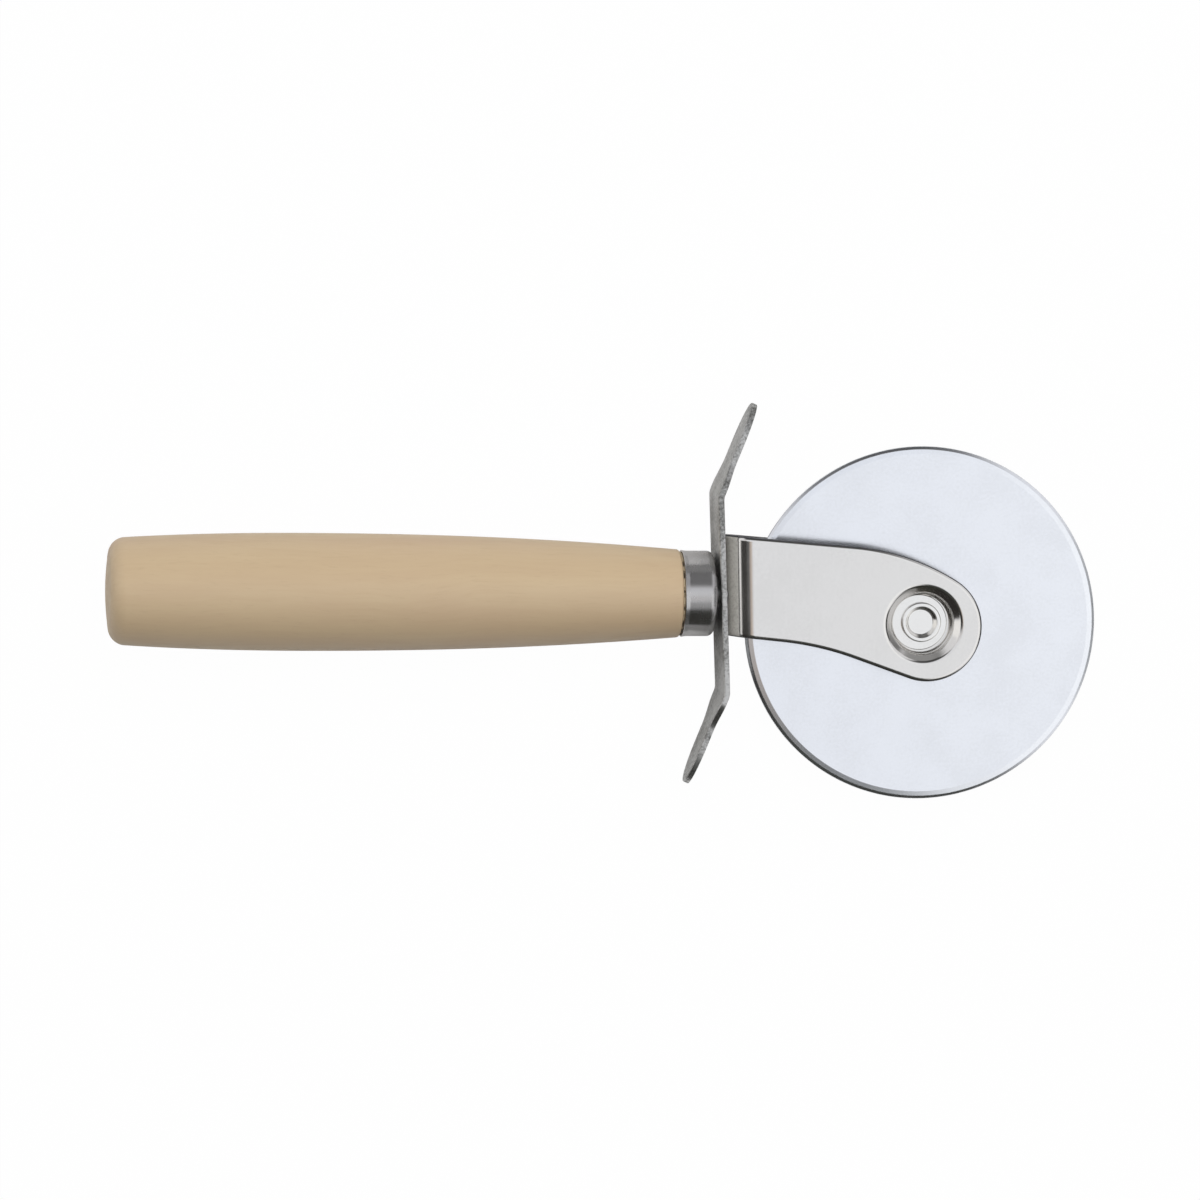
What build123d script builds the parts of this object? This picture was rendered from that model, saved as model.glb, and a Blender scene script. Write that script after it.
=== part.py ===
from build123d import *
from math import atan2, cos, radians, sin, tan
import os

# Pizza cutter wheel with a turned wooden handle, lying on its side as on a table.
# A steel tang is glued into the handle. It passes through a short ferrule and a bent
# finger guard, and its end is peened inside a U-shaped fork of sheet steel. Each arm of
# the fork is pressed into a round dish, and a shoulder rivet joins the two dish floors
# and carries the cutting wheel. Only the wheel moves: it spins on the rivet.
# Sizes are millimetres. X runs along the handle towards the wheel, Z along the axle.
# The pieces are drawn with X = 0 at the axle, Y = 0 and Z = 0 on the handle's axis, and
# moved at the end, so that the origin lies under the middle of the finished cutter.

# Cutting wheel
wheel_diameter = 65.0
wheel_thickness = 1.0
wheel_bevel_width = 1.6
wheel_edge_land = 0.2
wheel_drop = 5.4
wheel_side_gap = 0.3
wheel_running_gap = 0.06

# Fork: sheet, U section and arm outline
fork_sheet = 1.0
fork_width = 10.4
fork_corner_radius = 4.2
fork_reach = 36.4
fork_top_height = 11.1
fork_bottom_depth = 7.4
fork_end_radius = 10.0
fork_end_lead = 0.7
fork_end_drop = 0.3
fork_top_straight = 23.4
fork_neck_radius = 56.0
fork_edge_round = 0.45
fork_top_angle = 4.9
fork_bottom_angle = 5.7
fork_neck_angle = 19.8

# Dish pressed into each arm
dish_rim_radius = 7.05
dish_floor_radius = 5.65
dish_rim_bend = 1.0
dish_floor_bend = 0.4

# Shoulder rivet and its washer
rivet_shoulder_radius = 3.6
rivet_neck_radius = 3.0
rivet_hole_gap = 0.05
rivet_head_radius = 5.2
rivet_head_rim = 0.55
rivet_head_height = 1.1
rivet_lip_radius = 3.65
rivet_lip_height = 0.95
rivet_lip_round = 0.28
rivet_recess_radius = 2.75
rivet_recess_depth = 1.25
rivet_recess_taper = 0.1
washer_radius = 5.25
washer_thickness = 0.6
washer_edge_round = 0.15

# Finger guard
guard_height = 70.0
guard_width = 12.6
guard_sheet = 1.1
guard_flat_height = 36.4
guard_inside_bend = 2.0
guard_leaf_angle = 24.0
guard_tip_width = 8.4
guard_tip_length = 7.5
guard_taper_lead = 0.8
guard_taper_share = 0.6
guard_edge_round = 0.25

# Tang
tang_radius = 2.5
tang_length_in_wood = 58.0
tang_tip_chamfer = 1.0
tang_neck_radius = 2.0
tang_hole_gap = 0.05
tang_head_radius = 2.8
tang_head_rim = 0.95
tang_head_height = 1.4
tang_groove_depth = 0.3
tang_groove_width = 1.2
tang_groove_pitch = 4.0
tang_groove_count = 6
tang_glue_gap = 0.03
tang_tip_room = 1.5

# Ferrule
ferrule_radius = 7.8
ferrule_length = 5.95
ferrule_wall = 0.5
ferrule_shoulder_round = 1.3
ferrule_flare = 0.15
ferrule_flare_length = 0.8
ferrule_tang_gap = 0.2
ferrule_guard_gap = 0.9
ferrule_wood_gap = 0.35
ferrule_tenon_gap = 0.05
ferrule_end_gap = 0.3

# Handle
handle_length = 104.5
handle_butt_diameter = 19.6
handle_belly_diameter = 21.4
handle_hip_diameter = 19.95
handle_neck_diameter = 16.1
handle_belly_share = 0.34
handle_hip_share = 0.70
handle_butt_round = 3.2
handle_crown = 0.45
handle_neck_round = 0.5
handle_neck_taper_angle = 4.7
handle_butt_swell_angle = 3.5

# One overrun for every cut
overrun = 2.0

# Places along the tool, from the axle back to the butt
fork_back = -fork_reach
guard_back = fork_back - guard_sheet
ferrule_front = guard_back - ferrule_guard_gap
ferrule_back = ferrule_front - ferrule_length
handle_front = ferrule_back - ferrule_wood_gap
handle_back = handle_front - handle_length
tang_back = handle_front - tang_length_in_wood
axle_y = -wheel_drop

# Heights across the tool
arm_outside = fork_width / 2
arm_inside = arm_outside - fork_sheet
dish_inside = wheel_thickness / 2 + wheel_side_gap
dish_outside = dish_inside + fork_sheet
washer_top = dish_outside + washer_thickness
wheel_radius = wheel_diameter / 2


def turned(outline, axis):
    """A solid of revolution from a closed outline."""
    return revolve(make_face(outline), axis)


def disc_bore(radius, centre_x, centre_y, height):
    """A cutter for a round hole along Z through the given height either side of zero."""
    return Pos(centre_x, centre_y, 0) * Cylinder(radius, 2 * height)


def make_wheel():
    """Flat disc, ground to a thin edge from both sides, with its axle hole."""
    bore = rivet_shoulder_radius + wheel_running_gap
    half = wheel_thickness / 2
    ground = wheel_radius - wheel_bevel_width
    land = wheel_edge_land / 2
    with BuildLine(Plane.XZ) as section:
        Polyline(
            (bore, -half),
            (ground, -half),
            (wheel_radius, -land),
            (wheel_radius, land),
            (ground, half),
            (bore, half),
            close=True,
        )
    return Pos(0, axle_y, 0) * turned(section.edges(), Axis.Z)


def arm_outline():
    """Side outline of the fork: straight base, a long top arc, a round end and a waisted neck."""
    end_x = fork_end_lead
    end_y = axle_y - fork_end_drop
    top = Vector(cos(radians(fork_top_angle)), -sin(radians(fork_top_angle)))
    base_top = Vector(fork_back, fork_top_height)
    arc_start = base_top + top * (fork_top_straight / top.X)
    # The top arc leaves the straight edge smoothly and meets the round end smoothly
    to_end = Vector(end_x, end_y) - arc_start
    inward = Vector(-sin(radians(fork_top_angle)), -cos(radians(fork_top_angle)))
    arc_radius = (to_end.dot(to_end) - fork_end_radius**2) / (2 * (to_end.dot(inward) - fork_end_radius))
    arc_centre = arc_start + inward * arc_radius
    meet_way = (Vector(end_x, end_y) - arc_centre).normalized()
    meet = Vector(end_x, end_y) + meet_way * fork_end_radius
    arc_middle_way = ((arc_start - arc_centre).normalized() + meet_way).normalized()
    arc_middle = arc_centre + arc_middle_way * arc_radius
    # The neck's lower edge is tangent to the round end
    neck = Vector(cos(radians(fork_neck_angle)), -sin(radians(fork_neck_angle)))
    neck_normal = Vector(-sin(radians(fork_neck_angle)), -cos(radians(fork_neck_angle)))
    leave = Vector(end_x, end_y) + neck_normal * fork_end_radius
    base_bottom = Vector(fork_back, -fork_bottom_depth)
    bottom = Vector(cos(radians(fork_bottom_angle)), -sin(radians(fork_bottom_angle)))
    # Where the two straight parts of the lower edge would cross
    across = leave - base_bottom
    along = (across.X * neck.Y - across.Y * neck.X) / (bottom.X * neck.Y - bottom.Y * neck.X)
    corner = base_bottom + bottom * along
    # The round end runs from the top arc, past its far side, to the neck
    meet_angle = atan2(meet_way.Y, meet_way.X)
    leave_angle = atan2(neck_normal.Y, neck_normal.X)
    far_angle = (meet_angle + leave_angle) / 2
    far = Vector(end_x, end_y) + Vector(cos(far_angle), sin(far_angle)) * fork_end_radius
    with BuildLine() as outline:
        Line(base_top, arc_start)
        ThreePointArc(arc_start, arc_middle, meet)
        ThreePointArc(meet, far, leave)
        FilletPolyline(leave, corner, base_bottom, radius=fork_neck_radius)
        Line(base_bottom, base_top)
    return make_face(outline.edges())


def dish_section(hole_radius, rim_reach):
    """Half section of a dished arm: flat rim, drafted wall and flat floor, one sheet thick."""
    wall_run = dish_rim_radius - dish_floor_radius
    wall_fall = arm_outside - dish_outside
    bend = atan2(wall_fall, wall_run)
    shift = fork_sheet * tan(bend / 2)
    with BuildLine(Plane.XZ) as section:
        upper = FilletPolyline(
            (rim_reach, arm_outside),
            (dish_rim_radius, arm_outside),
            (dish_floor_radius, dish_outside),
            (hole_radius, dish_outside),
            radius=[dish_rim_bend + fork_sheet, dish_floor_bend],
        )
        lower = FilletPolyline(
            (rim_reach, arm_inside),
            (dish_rim_radius + shift, arm_inside),
            (dish_floor_radius + shift, dish_inside),
            (hole_radius, dish_inside),
            radius=[dish_rim_bend, dish_floor_bend + fork_sheet],
        )
        Line(upper @ 0, lower @ 0)
        Line(upper @ 1, lower @ 1)
    return section.edges()


def dish_reach():
    """Radius at which the dish's rounded rim has run out into the flat arm."""
    bend = atan2(arm_outside - dish_outside, dish_rim_radius - dish_floor_radius)
    rim_run = (dish_rim_bend + fork_sheet) * tan(bend / 2)
    return dish_rim_radius + rim_run + dish_floor_bend


def outer_rim_edges(body):
    """Edges between the fork's outer skin and its sheared edges."""
    outer = []
    for face in body.faces():
        if face.geom_type == GeomType.PLANE:
            normal = face.normal_at()
            flat = abs(normal.Z) > 0.9 and abs(face.center().Z) > (arm_outside + arm_inside) / 2
            back = normal.X < -0.9 and face.center().X < fork_back + fork_sheet / 2
            if flat or back:
                outer.append(face)
        elif face.geom_type == GeomType.CYLINDER:
            upright = abs(face.axis_of_rotation.direction.Y) > 0.9
            if upright and face.radius > fork_corner_radius - fork_sheet / 2:
                outer.append(face)
    edges = [edge for face in outer for edge in face.edges()]
    return ShapeList([edge for edge in edges if edges.count(edge) == 1])


def make_channel():
    """The fork's U-shaped section drawn out along Y, before its arms are cut to shape."""
    far_x = fork_end_lead + fork_end_radius + overrun
    inner_radius = fork_corner_radius - fork_sheet
    with BuildLine(Plane.XZ) as section:
        outside = FilletPolyline(
            (far_x, arm_outside),
            (fork_back, arm_outside),
            (fork_back, -arm_outside),
            (far_x, -arm_outside),
            radius=fork_corner_radius,
        )
        inside = FilletPolyline(
            (far_x, arm_inside),
            (fork_back + fork_sheet, arm_inside),
            (fork_back + fork_sheet, -arm_inside),
            (far_x, -arm_inside),
            radius=inner_radius,
        )
        Line(outside @ 0, inside @ 0)
        Line(outside @ 1, inside @ 1)
    return extrude(make_face(section.edges()), fork_top_height + wheel_radius, both=True)


def make_fork(channel):
    """One strip of sheet bent to a U, its arms outlined, dished and pierced for the rivet."""
    body = channel & extrude(arm_outline(), fork_width, both=True)
    body = fillet(outer_rim_edges(body), fork_edge_round)
    reach = dish_reach()
    body -= disc_bore(reach, 0, axle_y, fork_width)
    body += Pos(0, axle_y, 0) * turned(dish_section(rivet_neck_radius + rivet_hole_gap, reach), Axis.Z)
    lower = turned(dish_section(rivet_shoulder_radius + rivet_hole_gap, reach), Axis.Z)
    body += Pos(0, axle_y, 0) * mirror(lower, Plane.XY)
    hole = Pos(fork_back, 0, 0) * Rot(0, 90, 0) * Cylinder(tang_neck_radius + tang_hole_gap, 2 * fork_width)
    return body - (hole & (Pos(fork_back, 0, 0) * Box(fork_corner_radius, fork_width, fork_width)))


def make_axle_rivet():
    """Shoulder rivet: low domed head below, shoulder for the wheel, neck and rolled lip above."""
    head_bottom = -dish_outside - rivet_head_height
    head_edge = -dish_outside - rivet_head_rim
    lip_top = washer_top + rivet_lip_height
    floor = lip_top - rivet_recess_depth
    rim_round = rivet_head_rim / 2
    with BuildLine(Plane.XZ) as section:
        Line((0, floor), (0, head_bottom))
        TangentArc((0, head_bottom), (rivet_head_radius - rim_round, head_edge), tangent=(1, 0))
        ThreePointArc(
            (rivet_head_radius - rim_round, head_edge),
            (rivet_head_radius, head_edge + rim_round),
            (rivet_head_radius - rim_round, -dish_outside),
        )
        Polyline(
            (rivet_head_radius - rim_round, -dish_outside),
            (rivet_shoulder_radius, -dish_outside),
            (rivet_shoulder_radius, dish_inside),
            (rivet_neck_radius, dish_inside),
            (rivet_neck_radius, washer_top),
            (rivet_lip_radius, washer_top),
        )
        FilletPolyline(
            (rivet_lip_radius, washer_top),
            (rivet_lip_radius, lip_top),
            (rivet_recess_radius, lip_top),
            (rivet_recess_radius - rivet_recess_taper, floor),
            radius=rivet_lip_round,
        )
        Line((rivet_recess_radius - rivet_recess_taper, floor), (0, floor))
    return Pos(0, axle_y, 0) * turned(section.edges(), Axis.Z)


def make_rivet_washer():
    """Flat washer that lies in the upper dish, under the rivet's rolled lip."""
    hole = rivet_neck_radius + rivet_hole_gap
    body = Cylinder(washer_radius, washer_thickness) - Cylinder(hole, washer_thickness + overrun)
    middle = (hole + washer_radius) / 2
    rims = body.edges().filter_by(GeomType.CIRCLE).filter_by(lambda edge: edge.radius > middle)
    body = fillet(rims, washer_edge_round)
    return Pos(0, axle_y, dish_outside + washer_thickness / 2) * body


def leaf_cutter():
    """What is trimmed off a straight leaf, past its bend, to leave its tapered, oval-ended outline."""
    lean = radians(guard_leaf_angle)
    leaf_length = (guard_height - guard_flat_height) / 2 / cos(lean)
    taper_start = (guard_inside_bend + guard_sheet) * tan(lean / 2) + guard_taper_lead
    straight = leaf_length - guard_tip_length
    taper_end = taper_start + guard_taper_share * (straight - taper_start)
    half_root = guard_width / 2
    half_tip = guard_tip_width / 2
    clear = half_root + overrun
    past_tip = leaf_length + guard_sheet + 2 * overrun
    with BuildLine() as outline:
        Polyline(
            (half_root, taper_start),
            (clear, taper_start),
            (clear, past_tip),
            (-clear, past_tip),
            (-clear, taper_start),
            (-half_root, taper_start),
        )
        Spline((-half_root, taper_start), (-half_tip, taper_end), tangents=[(0, 1), (0, 1)])
        Line((-half_tip, taper_end), (-half_tip, straight))
        EllipticalCenterArc((0, straight), half_tip, guard_tip_length, start_angle=0, arc_size=180)
        Line((half_tip, taper_end), (half_tip, straight))
        Spline((half_root, taper_start), (half_tip, taper_end), tangents=[(0, 1), (0, 1)])
    return extrude(make_face(outline.edges()), guard_sheet + overrun, both=True)


def make_guard():
    """Bent strip: flat middle, one leaf leaning to the wheel and one to the handle."""
    lean = radians(guard_leaf_angle)
    outer_y = guard_flat_height / 2
    inner_y = outer_y - guard_sheet * tan(lean / 2)
    outside_bend = guard_inside_bend + guard_sheet
    # The strip runs on past its tips, where the cutter gives it its oval ends
    end_y = guard_height / 2 + overrun
    outer_run = (end_y - outer_y) * tan(lean)
    inner_run = (end_y - inner_y) * tan(lean)
    with BuildLine() as section:
        back = FilletPolyline(
            (guard_back - inner_run, -end_y),
            (guard_back, -inner_y),
            (guard_back, outer_y),
            (guard_back + outer_run, end_y),
            radius=[guard_inside_bend, outside_bend],
        )
        front = FilletPolyline(
            (fork_back - outer_run, -end_y),
            (fork_back, -outer_y),
            (fork_back, inner_y),
            (fork_back + inner_run, end_y),
            radius=[outside_bend, guard_inside_bend],
        )
        Line(back @ 0, front @ 0)
        Line(back @ 1, front @ 1)
    body = extrude(make_face(section.edges()), guard_width / 2, both=True)
    cutter = leaf_cutter()
    upper = Plane(
        origin=(guard_back, outer_y, 0),
        x_dir=(0, 0, 1),
        z_dir=(-cos(lean), sin(lean), 0),
    )
    lower = Plane(
        origin=(fork_back, -outer_y, 0),
        x_dir=(0, 0, 1),
        z_dir=(cos(lean), -sin(lean), 0),
    )
    body -= upper.location * cutter
    body -= lower.location * cutter
    body = fillet(body.edges().filter_by(Axis.Z, reverse=True), guard_edge_round)
    middle_x = (guard_back + fork_back) / 2
    bore = Pos(middle_x, 0, 0) * Rot(0, 90, 0) * Cylinder(tang_neck_radius + tang_hole_gap, 2 * guard_sheet)
    return body - bore


def make_tang(channel):
    """Steel rod with glue grooves, a shoulder at the guard and a head peened inside the fork."""
    seat = fork_back + fork_sheet
    head_top = seat + tang_head_height
    rim_top = seat + tang_head_rim
    points = [
        (tang_back, 0),
        (tang_back, tang_radius - tang_tip_chamfer),
        (tang_back + tang_tip_chamfer, tang_radius),
    ]
    for turn in range(tang_groove_count):
        start = tang_back + tang_tip_chamfer + (turn + 1) * tang_groove_pitch
        points += [
            (start, tang_radius),
            (start + tang_groove_depth, tang_radius - tang_groove_depth),
            (start + tang_groove_width, tang_radius - tang_groove_depth),
            (start + tang_groove_width + tang_groove_depth, tang_radius),
        ]
    neck_end = (seat + rim_top) / 2
    points += [
        (guard_back, tang_radius),
        (guard_back, tang_neck_radius),
        (neck_end, tang_neck_radius),
        (neck_end, 0),
    ]
    rod = turned(Polyline(*points, close=True).edges(), Axis.X)
    # The head is spread into the fork's rounded back, so its underside has that shape
    with BuildLine() as section:
        Polyline((seat, 0), (seat, tang_head_radius), (rim_top, tang_head_radius))
        TangentArc((head_top, 0), (rim_top, tang_head_radius), tangent=(0, 1))
        Line((head_top, 0), (seat, 0))
    head = turned(section.edges(), Axis.X) - channel
    return rod + head


def make_ferrule():
    """Drawn steel cap over the handle's tenon, with a rounded front and a hole for the tang."""
    hole = tang_radius + ferrule_tang_gap
    inner = ferrule_radius - ferrule_wall
    inner_round = ferrule_shoulder_round - ferrule_wall
    with BuildLine() as section:
        outside = FilletPolyline(
            (ferrule_back, ferrule_radius + ferrule_flare),
            (ferrule_back + ferrule_flare_length, ferrule_radius),
            (ferrule_front, ferrule_radius),
            (ferrule_front, hole),
            radius=[ferrule_flare_length, ferrule_shoulder_round],
        )
        inside = FilletPolyline(
            (ferrule_back, inner + ferrule_flare),
            (ferrule_back + ferrule_flare_length, inner),
            (ferrule_front - ferrule_wall, inner),
            (ferrule_front - ferrule_wall, hole),
            radius=[ferrule_flare_length, inner_round],
        )
        Line(outside @ 0, inside @ 0)
        Line(outside @ 1, inside @ 1)
    return turned(section.edges(), Axis.X)


def make_handle():
    """Turned handle: crowned butt, full belly, slim neck, tenon for the ferrule, bore for the tang."""
    butt = handle_butt_diameter / 2
    belly = handle_belly_diameter / 2
    hip = handle_hip_diameter / 2
    neck = handle_neck_diameter / 2
    tenon = ferrule_radius - ferrule_wall - ferrule_tenon_gap
    tenon_front = ferrule_front - ferrule_wall - ferrule_end_gap
    crown_edge = handle_back + handle_crown
    side_start = crown_edge + handle_butt_round
    neck_start = handle_front - handle_neck_round
    taper = radians(handle_neck_taper_angle)
    swell = radians(handle_butt_swell_angle)
    belly_x = handle_back + handle_belly_share * handle_length
    tenon_chamfer = ferrule_shoulder_round - ferrule_wall
    round_middle = handle_butt_round * (1 - cos(radians(45)))
    bore_end = tang_back - tang_tip_room
    bore = tang_radius + tang_glue_gap
    with BuildLine() as section:
        TangentArc((handle_back, 0), (crown_edge, butt - handle_butt_round), tangent=(0, 1))
        ThreePointArc(
            (crown_edge, butt - handle_butt_round),
            (crown_edge + round_middle, butt - round_middle),
            (side_start, butt),
        )
        Spline(
            (side_start, butt),
            (belly_x, belly),
            tangents=[(cos(swell), sin(swell)), (1, 0)],
        )
        Spline(
            (belly_x, belly),
            (handle_back + handle_hip_share * handle_length, hip),
            (neck_start, neck),
            tangents=[(1, 0), (cos(taper), -sin(taper))],
        )
        Polyline(
            (neck_start, neck),
            (handle_front, neck - handle_neck_round),
            (handle_front, tenon),
            (tenon_front - tenon_chamfer, tenon),
            (tenon_front, tenon - tenon_chamfer),
            (tenon_front, bore),
            (bore_end, bore),
            (bore_end, 0),
            (handle_back, 0),
        )
    return turned(section.edges(), Axis.X)


# Pieces, each a solid of its own
channel = make_channel()
pieces = {
    "handle": make_handle(),
    "ferrule": make_ferrule(),
    "tang": make_tang(channel),
    "finger_guard": make_guard(),
    "fork": make_fork(channel),
    "cutting_wheel": make_wheel(),
    "axle_rivet": make_axle_rivet(),
    "rivet_washer": make_rivet_washer(),
}

# The origin lies under the middle of the cutter, at the height of the handle's underside
middle_x = (handle_back + wheel_radius) / 2
middle_y = (guard_height / 2 + axle_y - wheel_radius) / 2
axis_z = handle_belly_diameter / 2
place = Pos(-middle_x, -middle_y, axis_z)

os.makedirs("parts", exist_ok=True)
for name, piece in pieces.items():
    export_step(place * piece, f"parts/{name}.step")
print(f"axle at x {-middle_x:.3f}, y {axle_y - middle_y:.3f}, z {axis_z:.3f}")
print(f"arm faces at z {axis_z - arm_outside:.3f} and {axis_z + arm_outside:.3f}")
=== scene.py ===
"""Looks of a pizza cutter: turned wooden handle, pressed steel fork and guard, polished wheel."""
import logging
import math
from collections.abc import Callable, Sequence
from dataclasses import dataclass, field
from enum import Enum

import bmesh
import bpy
import numpy as np
from mathutils import Euler, Matrix, Vector
from mathutils.geometry import delaunay_2d_cdt


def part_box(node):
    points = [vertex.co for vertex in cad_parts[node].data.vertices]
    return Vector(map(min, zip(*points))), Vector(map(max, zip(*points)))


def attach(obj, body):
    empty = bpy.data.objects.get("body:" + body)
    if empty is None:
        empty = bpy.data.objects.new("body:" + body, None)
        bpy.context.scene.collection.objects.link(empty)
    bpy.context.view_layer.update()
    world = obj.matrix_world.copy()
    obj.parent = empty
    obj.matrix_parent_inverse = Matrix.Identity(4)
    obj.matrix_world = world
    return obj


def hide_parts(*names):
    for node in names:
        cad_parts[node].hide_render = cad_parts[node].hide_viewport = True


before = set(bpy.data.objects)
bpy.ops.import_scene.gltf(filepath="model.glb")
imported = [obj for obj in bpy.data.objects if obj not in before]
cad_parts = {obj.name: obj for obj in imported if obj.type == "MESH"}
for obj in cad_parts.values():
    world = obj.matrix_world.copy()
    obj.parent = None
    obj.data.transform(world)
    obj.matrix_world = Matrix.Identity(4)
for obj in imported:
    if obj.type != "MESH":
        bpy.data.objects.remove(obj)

log = logging.getLogger("cutter")

MM = 0.001
Socket = bpy.types.NodeSocket
Colour = tuple[float, float, float]


class Body(Enum):
    """The two rigid bodies of the cutter."""

    HOLDER = "holder"
    WHEEL = "wheel"


class Axis(Enum):
    """Which way a turned piece's axis points."""

    ALONG = "x"
    UP = "z"


@dataclass(frozen=True)
class Grain:
    """A noise pattern.

    Args:
        scale: How fine it is, per metre.
        detail: How many finer layers it has.
        roughness: How strong the finer layers are.
        stretch: What the coordinates are multiplied by, small where the pattern runs long.
    """

    scale: float
    detail: float = 2.0
    roughness: float = 0.5
    stretch: tuple[float, float, float] | None = None


class PolishLines(Enum):
    """Which way the polishing lines of a steel face run, with their pattern."""

    ALONG = Grain(5200.0, 2.0, 0.6, (0.02, 1.0, 0.4))
    AROUND_TOOL = Grain(5200.0, 2.0, 0.6, (1.0, 0.03, 0.03))
    ROUND = Grain(5200.0, 3.0, 0.65)


@dataclass(frozen=True)
class ToolFrame:
    """Where the tool's own zero lies: the axle's X, and the handle's axis in Y and Z.

    Args:
        origin: The zero point in the row frame, in metres.
    """

    origin: Vector

    @classmethod
    def from_nodes(cls) -> "ToolFrame":
        """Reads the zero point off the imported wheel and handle."""
        wheel_low, wheel_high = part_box("cutting_wheel")
        handle_low, handle_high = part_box("handle")
        middle = (handle_low + handle_high) / 2
        return cls(Vector(((wheel_low.x + wheel_high.x) / 2, middle.y, middle.z)))

    def place(self, points: np.ndarray) -> np.ndarray:
        """Moves tool points in mm to the row frame.

        Args:
            points: Rows of X, Y, Z in mm.

        Returns:
            The same rows in metres in the row frame.
        """
        return np.asarray(points, float) * MM + np.array(self.origin)


class Desk:
    """Adds nodes to one tree and joins them.

    Args:
        tree: The node tree to work in.
    """

    # Most values of a noise lie between these two
    NOISE_LOW = 0.3
    NOISE_HIGH = 0.7

    def __init__(self, tree: bpy.types.NodeTree) -> None:
        self.tree = tree

    def add(
        self, kind: str, inputs: dict[str | int, object] | None = None, **settings: object
    ) -> bpy.types.Node:
        """Adds one node.

        Args:
            kind: The node's type name.
            inputs: Values or sockets for its inputs, by name or place.
            **settings: Values for the node's own settings.

        Returns:
            The new node.
        """
        node = self.tree.nodes.new(kind)
        for name, value in settings.items():
            setattr(node, name, value)
        for name, value in (inputs or {}).items():
            if isinstance(value, Socket):
                self.tree.links.new(value, node.inputs[name])
            else:
                node.inputs[name].default_value = value
        return node

    def math(self, operation: str, first: object, second: object | None = None) -> Socket:
        """Adds a Math node of one or two inputs and returns its output."""
        inputs: dict[str | int, object] = {0: first}
        if second is not None:
            inputs[1] = second
        return self.add("ShaderNodeMath", inputs, operation=operation).outputs[0]

    def total(self, first: Socket, *others: Socket) -> Socket:
        """Adds up several values."""
        for other in others:
            first = self.math("ADD", first, other)
        return first

    def vector(self, operation: str, first: object, second: object) -> Socket:
        """Adds a Vector Math node of two inputs and returns its output."""
        return self.add("ShaderNodeVectorMath", {0: first, 1: second}, operation=operation).outputs[0]

    def joined(self, x: object, y: object = 0.0, z: object = 0.0) -> Socket:
        """Joins three values to a vector."""
        return self.add("ShaderNodeCombineXYZ", {0: x, 1: y, 2: z}).outputs[0]

    def ramp(self, value: Socket, low: float, high: float, start: float = 0.0, end: float = 1.0) -> Socket:
        """Maps a value smoothly from one range to another.

        Args:
            value: The value to map.
            low: Where the range begins.
            high: Where the range ends.
            start: Result at the beginning.
            end: Result at the end.

        Returns:
            The mapped value.
        """
        node = self.add(
            "ShaderNodeMapRange",
            {"Value": value, "From Min": low, "From Max": high, "To Min": start, "To Max": end},
            interpolation_type="SMOOTHSTEP",
        )
        return node.outputs[0]

    def spread(self, noise: Socket, start: float, end: float) -> Socket:
        """Maps the usual range of a noise to another range."""
        return self.ramp(noise, self.NOISE_LOW, self.NOISE_HIGH, start, end)

    def mix(self, share: object, first: object, second: object) -> Socket:
        """Mixes two colours.

        Args:
            share: How much of the second colour shows.
            first: The first colour, or its socket.
            second: The second colour, or its socket.

        Returns:
            The mixed colour.
        """
        # For colours the node takes input 0 as the share and 6 and 7 as the two, and gives output 2
        inputs: dict[str | int, object] = {0: share}
        for place, colour in ((6, first), (7, second)):
            inputs[place] = colour if isinstance(colour, Socket) else (*colour, 1.0)
        return self.add("ShaderNodeMix", inputs, data_type="RGBA").outputs[2]

    def noise(self, place: Socket, grain: Grain, output: str = "Fac") -> Socket:
        """Adds a noise texture.

        Args:
            place: Its coordinates.
            grain: Its pattern.
            output: Name of the output that is taken.

        Returns:
            That output.
        """
        if grain.stretch is not None:
            place = self.mapped(place, scale=grain.stretch)
        inputs = {"Vector": place, "Scale": grain.scale, "Detail": grain.detail, "Roughness": grain.roughness}
        return self.add("ShaderNodeTexNoise", inputs).outputs[output]

    def mapped(
        self, place: Socket, scale: Sequence[float] = (1, 1, 1), move: Sequence[float] = (0, 0, 0)
    ) -> Socket:
        """Scales and moves coordinates with a Mapping node."""
        inputs = {"Vector": place, "Scale": tuple(scale), "Location": tuple(move)}
        return self.add("ShaderNodeMapping", inputs).outputs[0]


class Paint:
    """A material being made: its nodes, its surface shader and Object coordinates about a point.

    Args:
        name: The material's name.
        centre: The point of the row frame about which its patterns are drawn.
    """

    def __init__(self, name: str, centre: Vector) -> None:
        self.material = bpy.data.materials.new(name)
        self.material.use_nodes = True
        self.tree = self.material.node_tree
        self.tree.nodes.clear()
        self.desk = Desk(self.tree)
        self.surface = self.desk.add("ShaderNodeBsdfPrincipled")
        self.desk.add("ShaderNodeOutputMaterial", {"Surface": self.surface.outputs[0]})
        spot = self.desk.add("ShaderNodeTexCoord").outputs["Object"]
        self.place = self.desk.mapped(spot, move=-centre)

    def set(self, name: str, value: object) -> None:
        """Sets or links one input of the surface shader."""
        if isinstance(value, Socket):
            self.tree.links.new(value, self.surface.inputs[name])
        else:
            self.surface.inputs[name].default_value = value

    def bump(self, height: Socket, strength: float, distance: float) -> None:
        """Lets a height pattern tilt the surface.

        Args:
            height: The pattern.
            strength: How much of it shows.
            distance: Its depth in metres.
        """
        inputs = {"Height": height, "Strength": strength, "Distance": distance}
        self.set("Normal", self.desk.add("ShaderNodeBump", inputs).outputs[0])


@dataclass(frozen=True)
class Figure:
    """A part of the wood's figure: a colour that shows where a noise is strong.

    Args:
        grain: The noise.
        colour: The colour.
        low: Value of the noise at which the colour begins to show.
        high: Value at which it shows most.
        strength: How much it covers there.
    """

    grain: Grain
    colour: Colour
    low: float
    high: float
    strength: float


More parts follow.
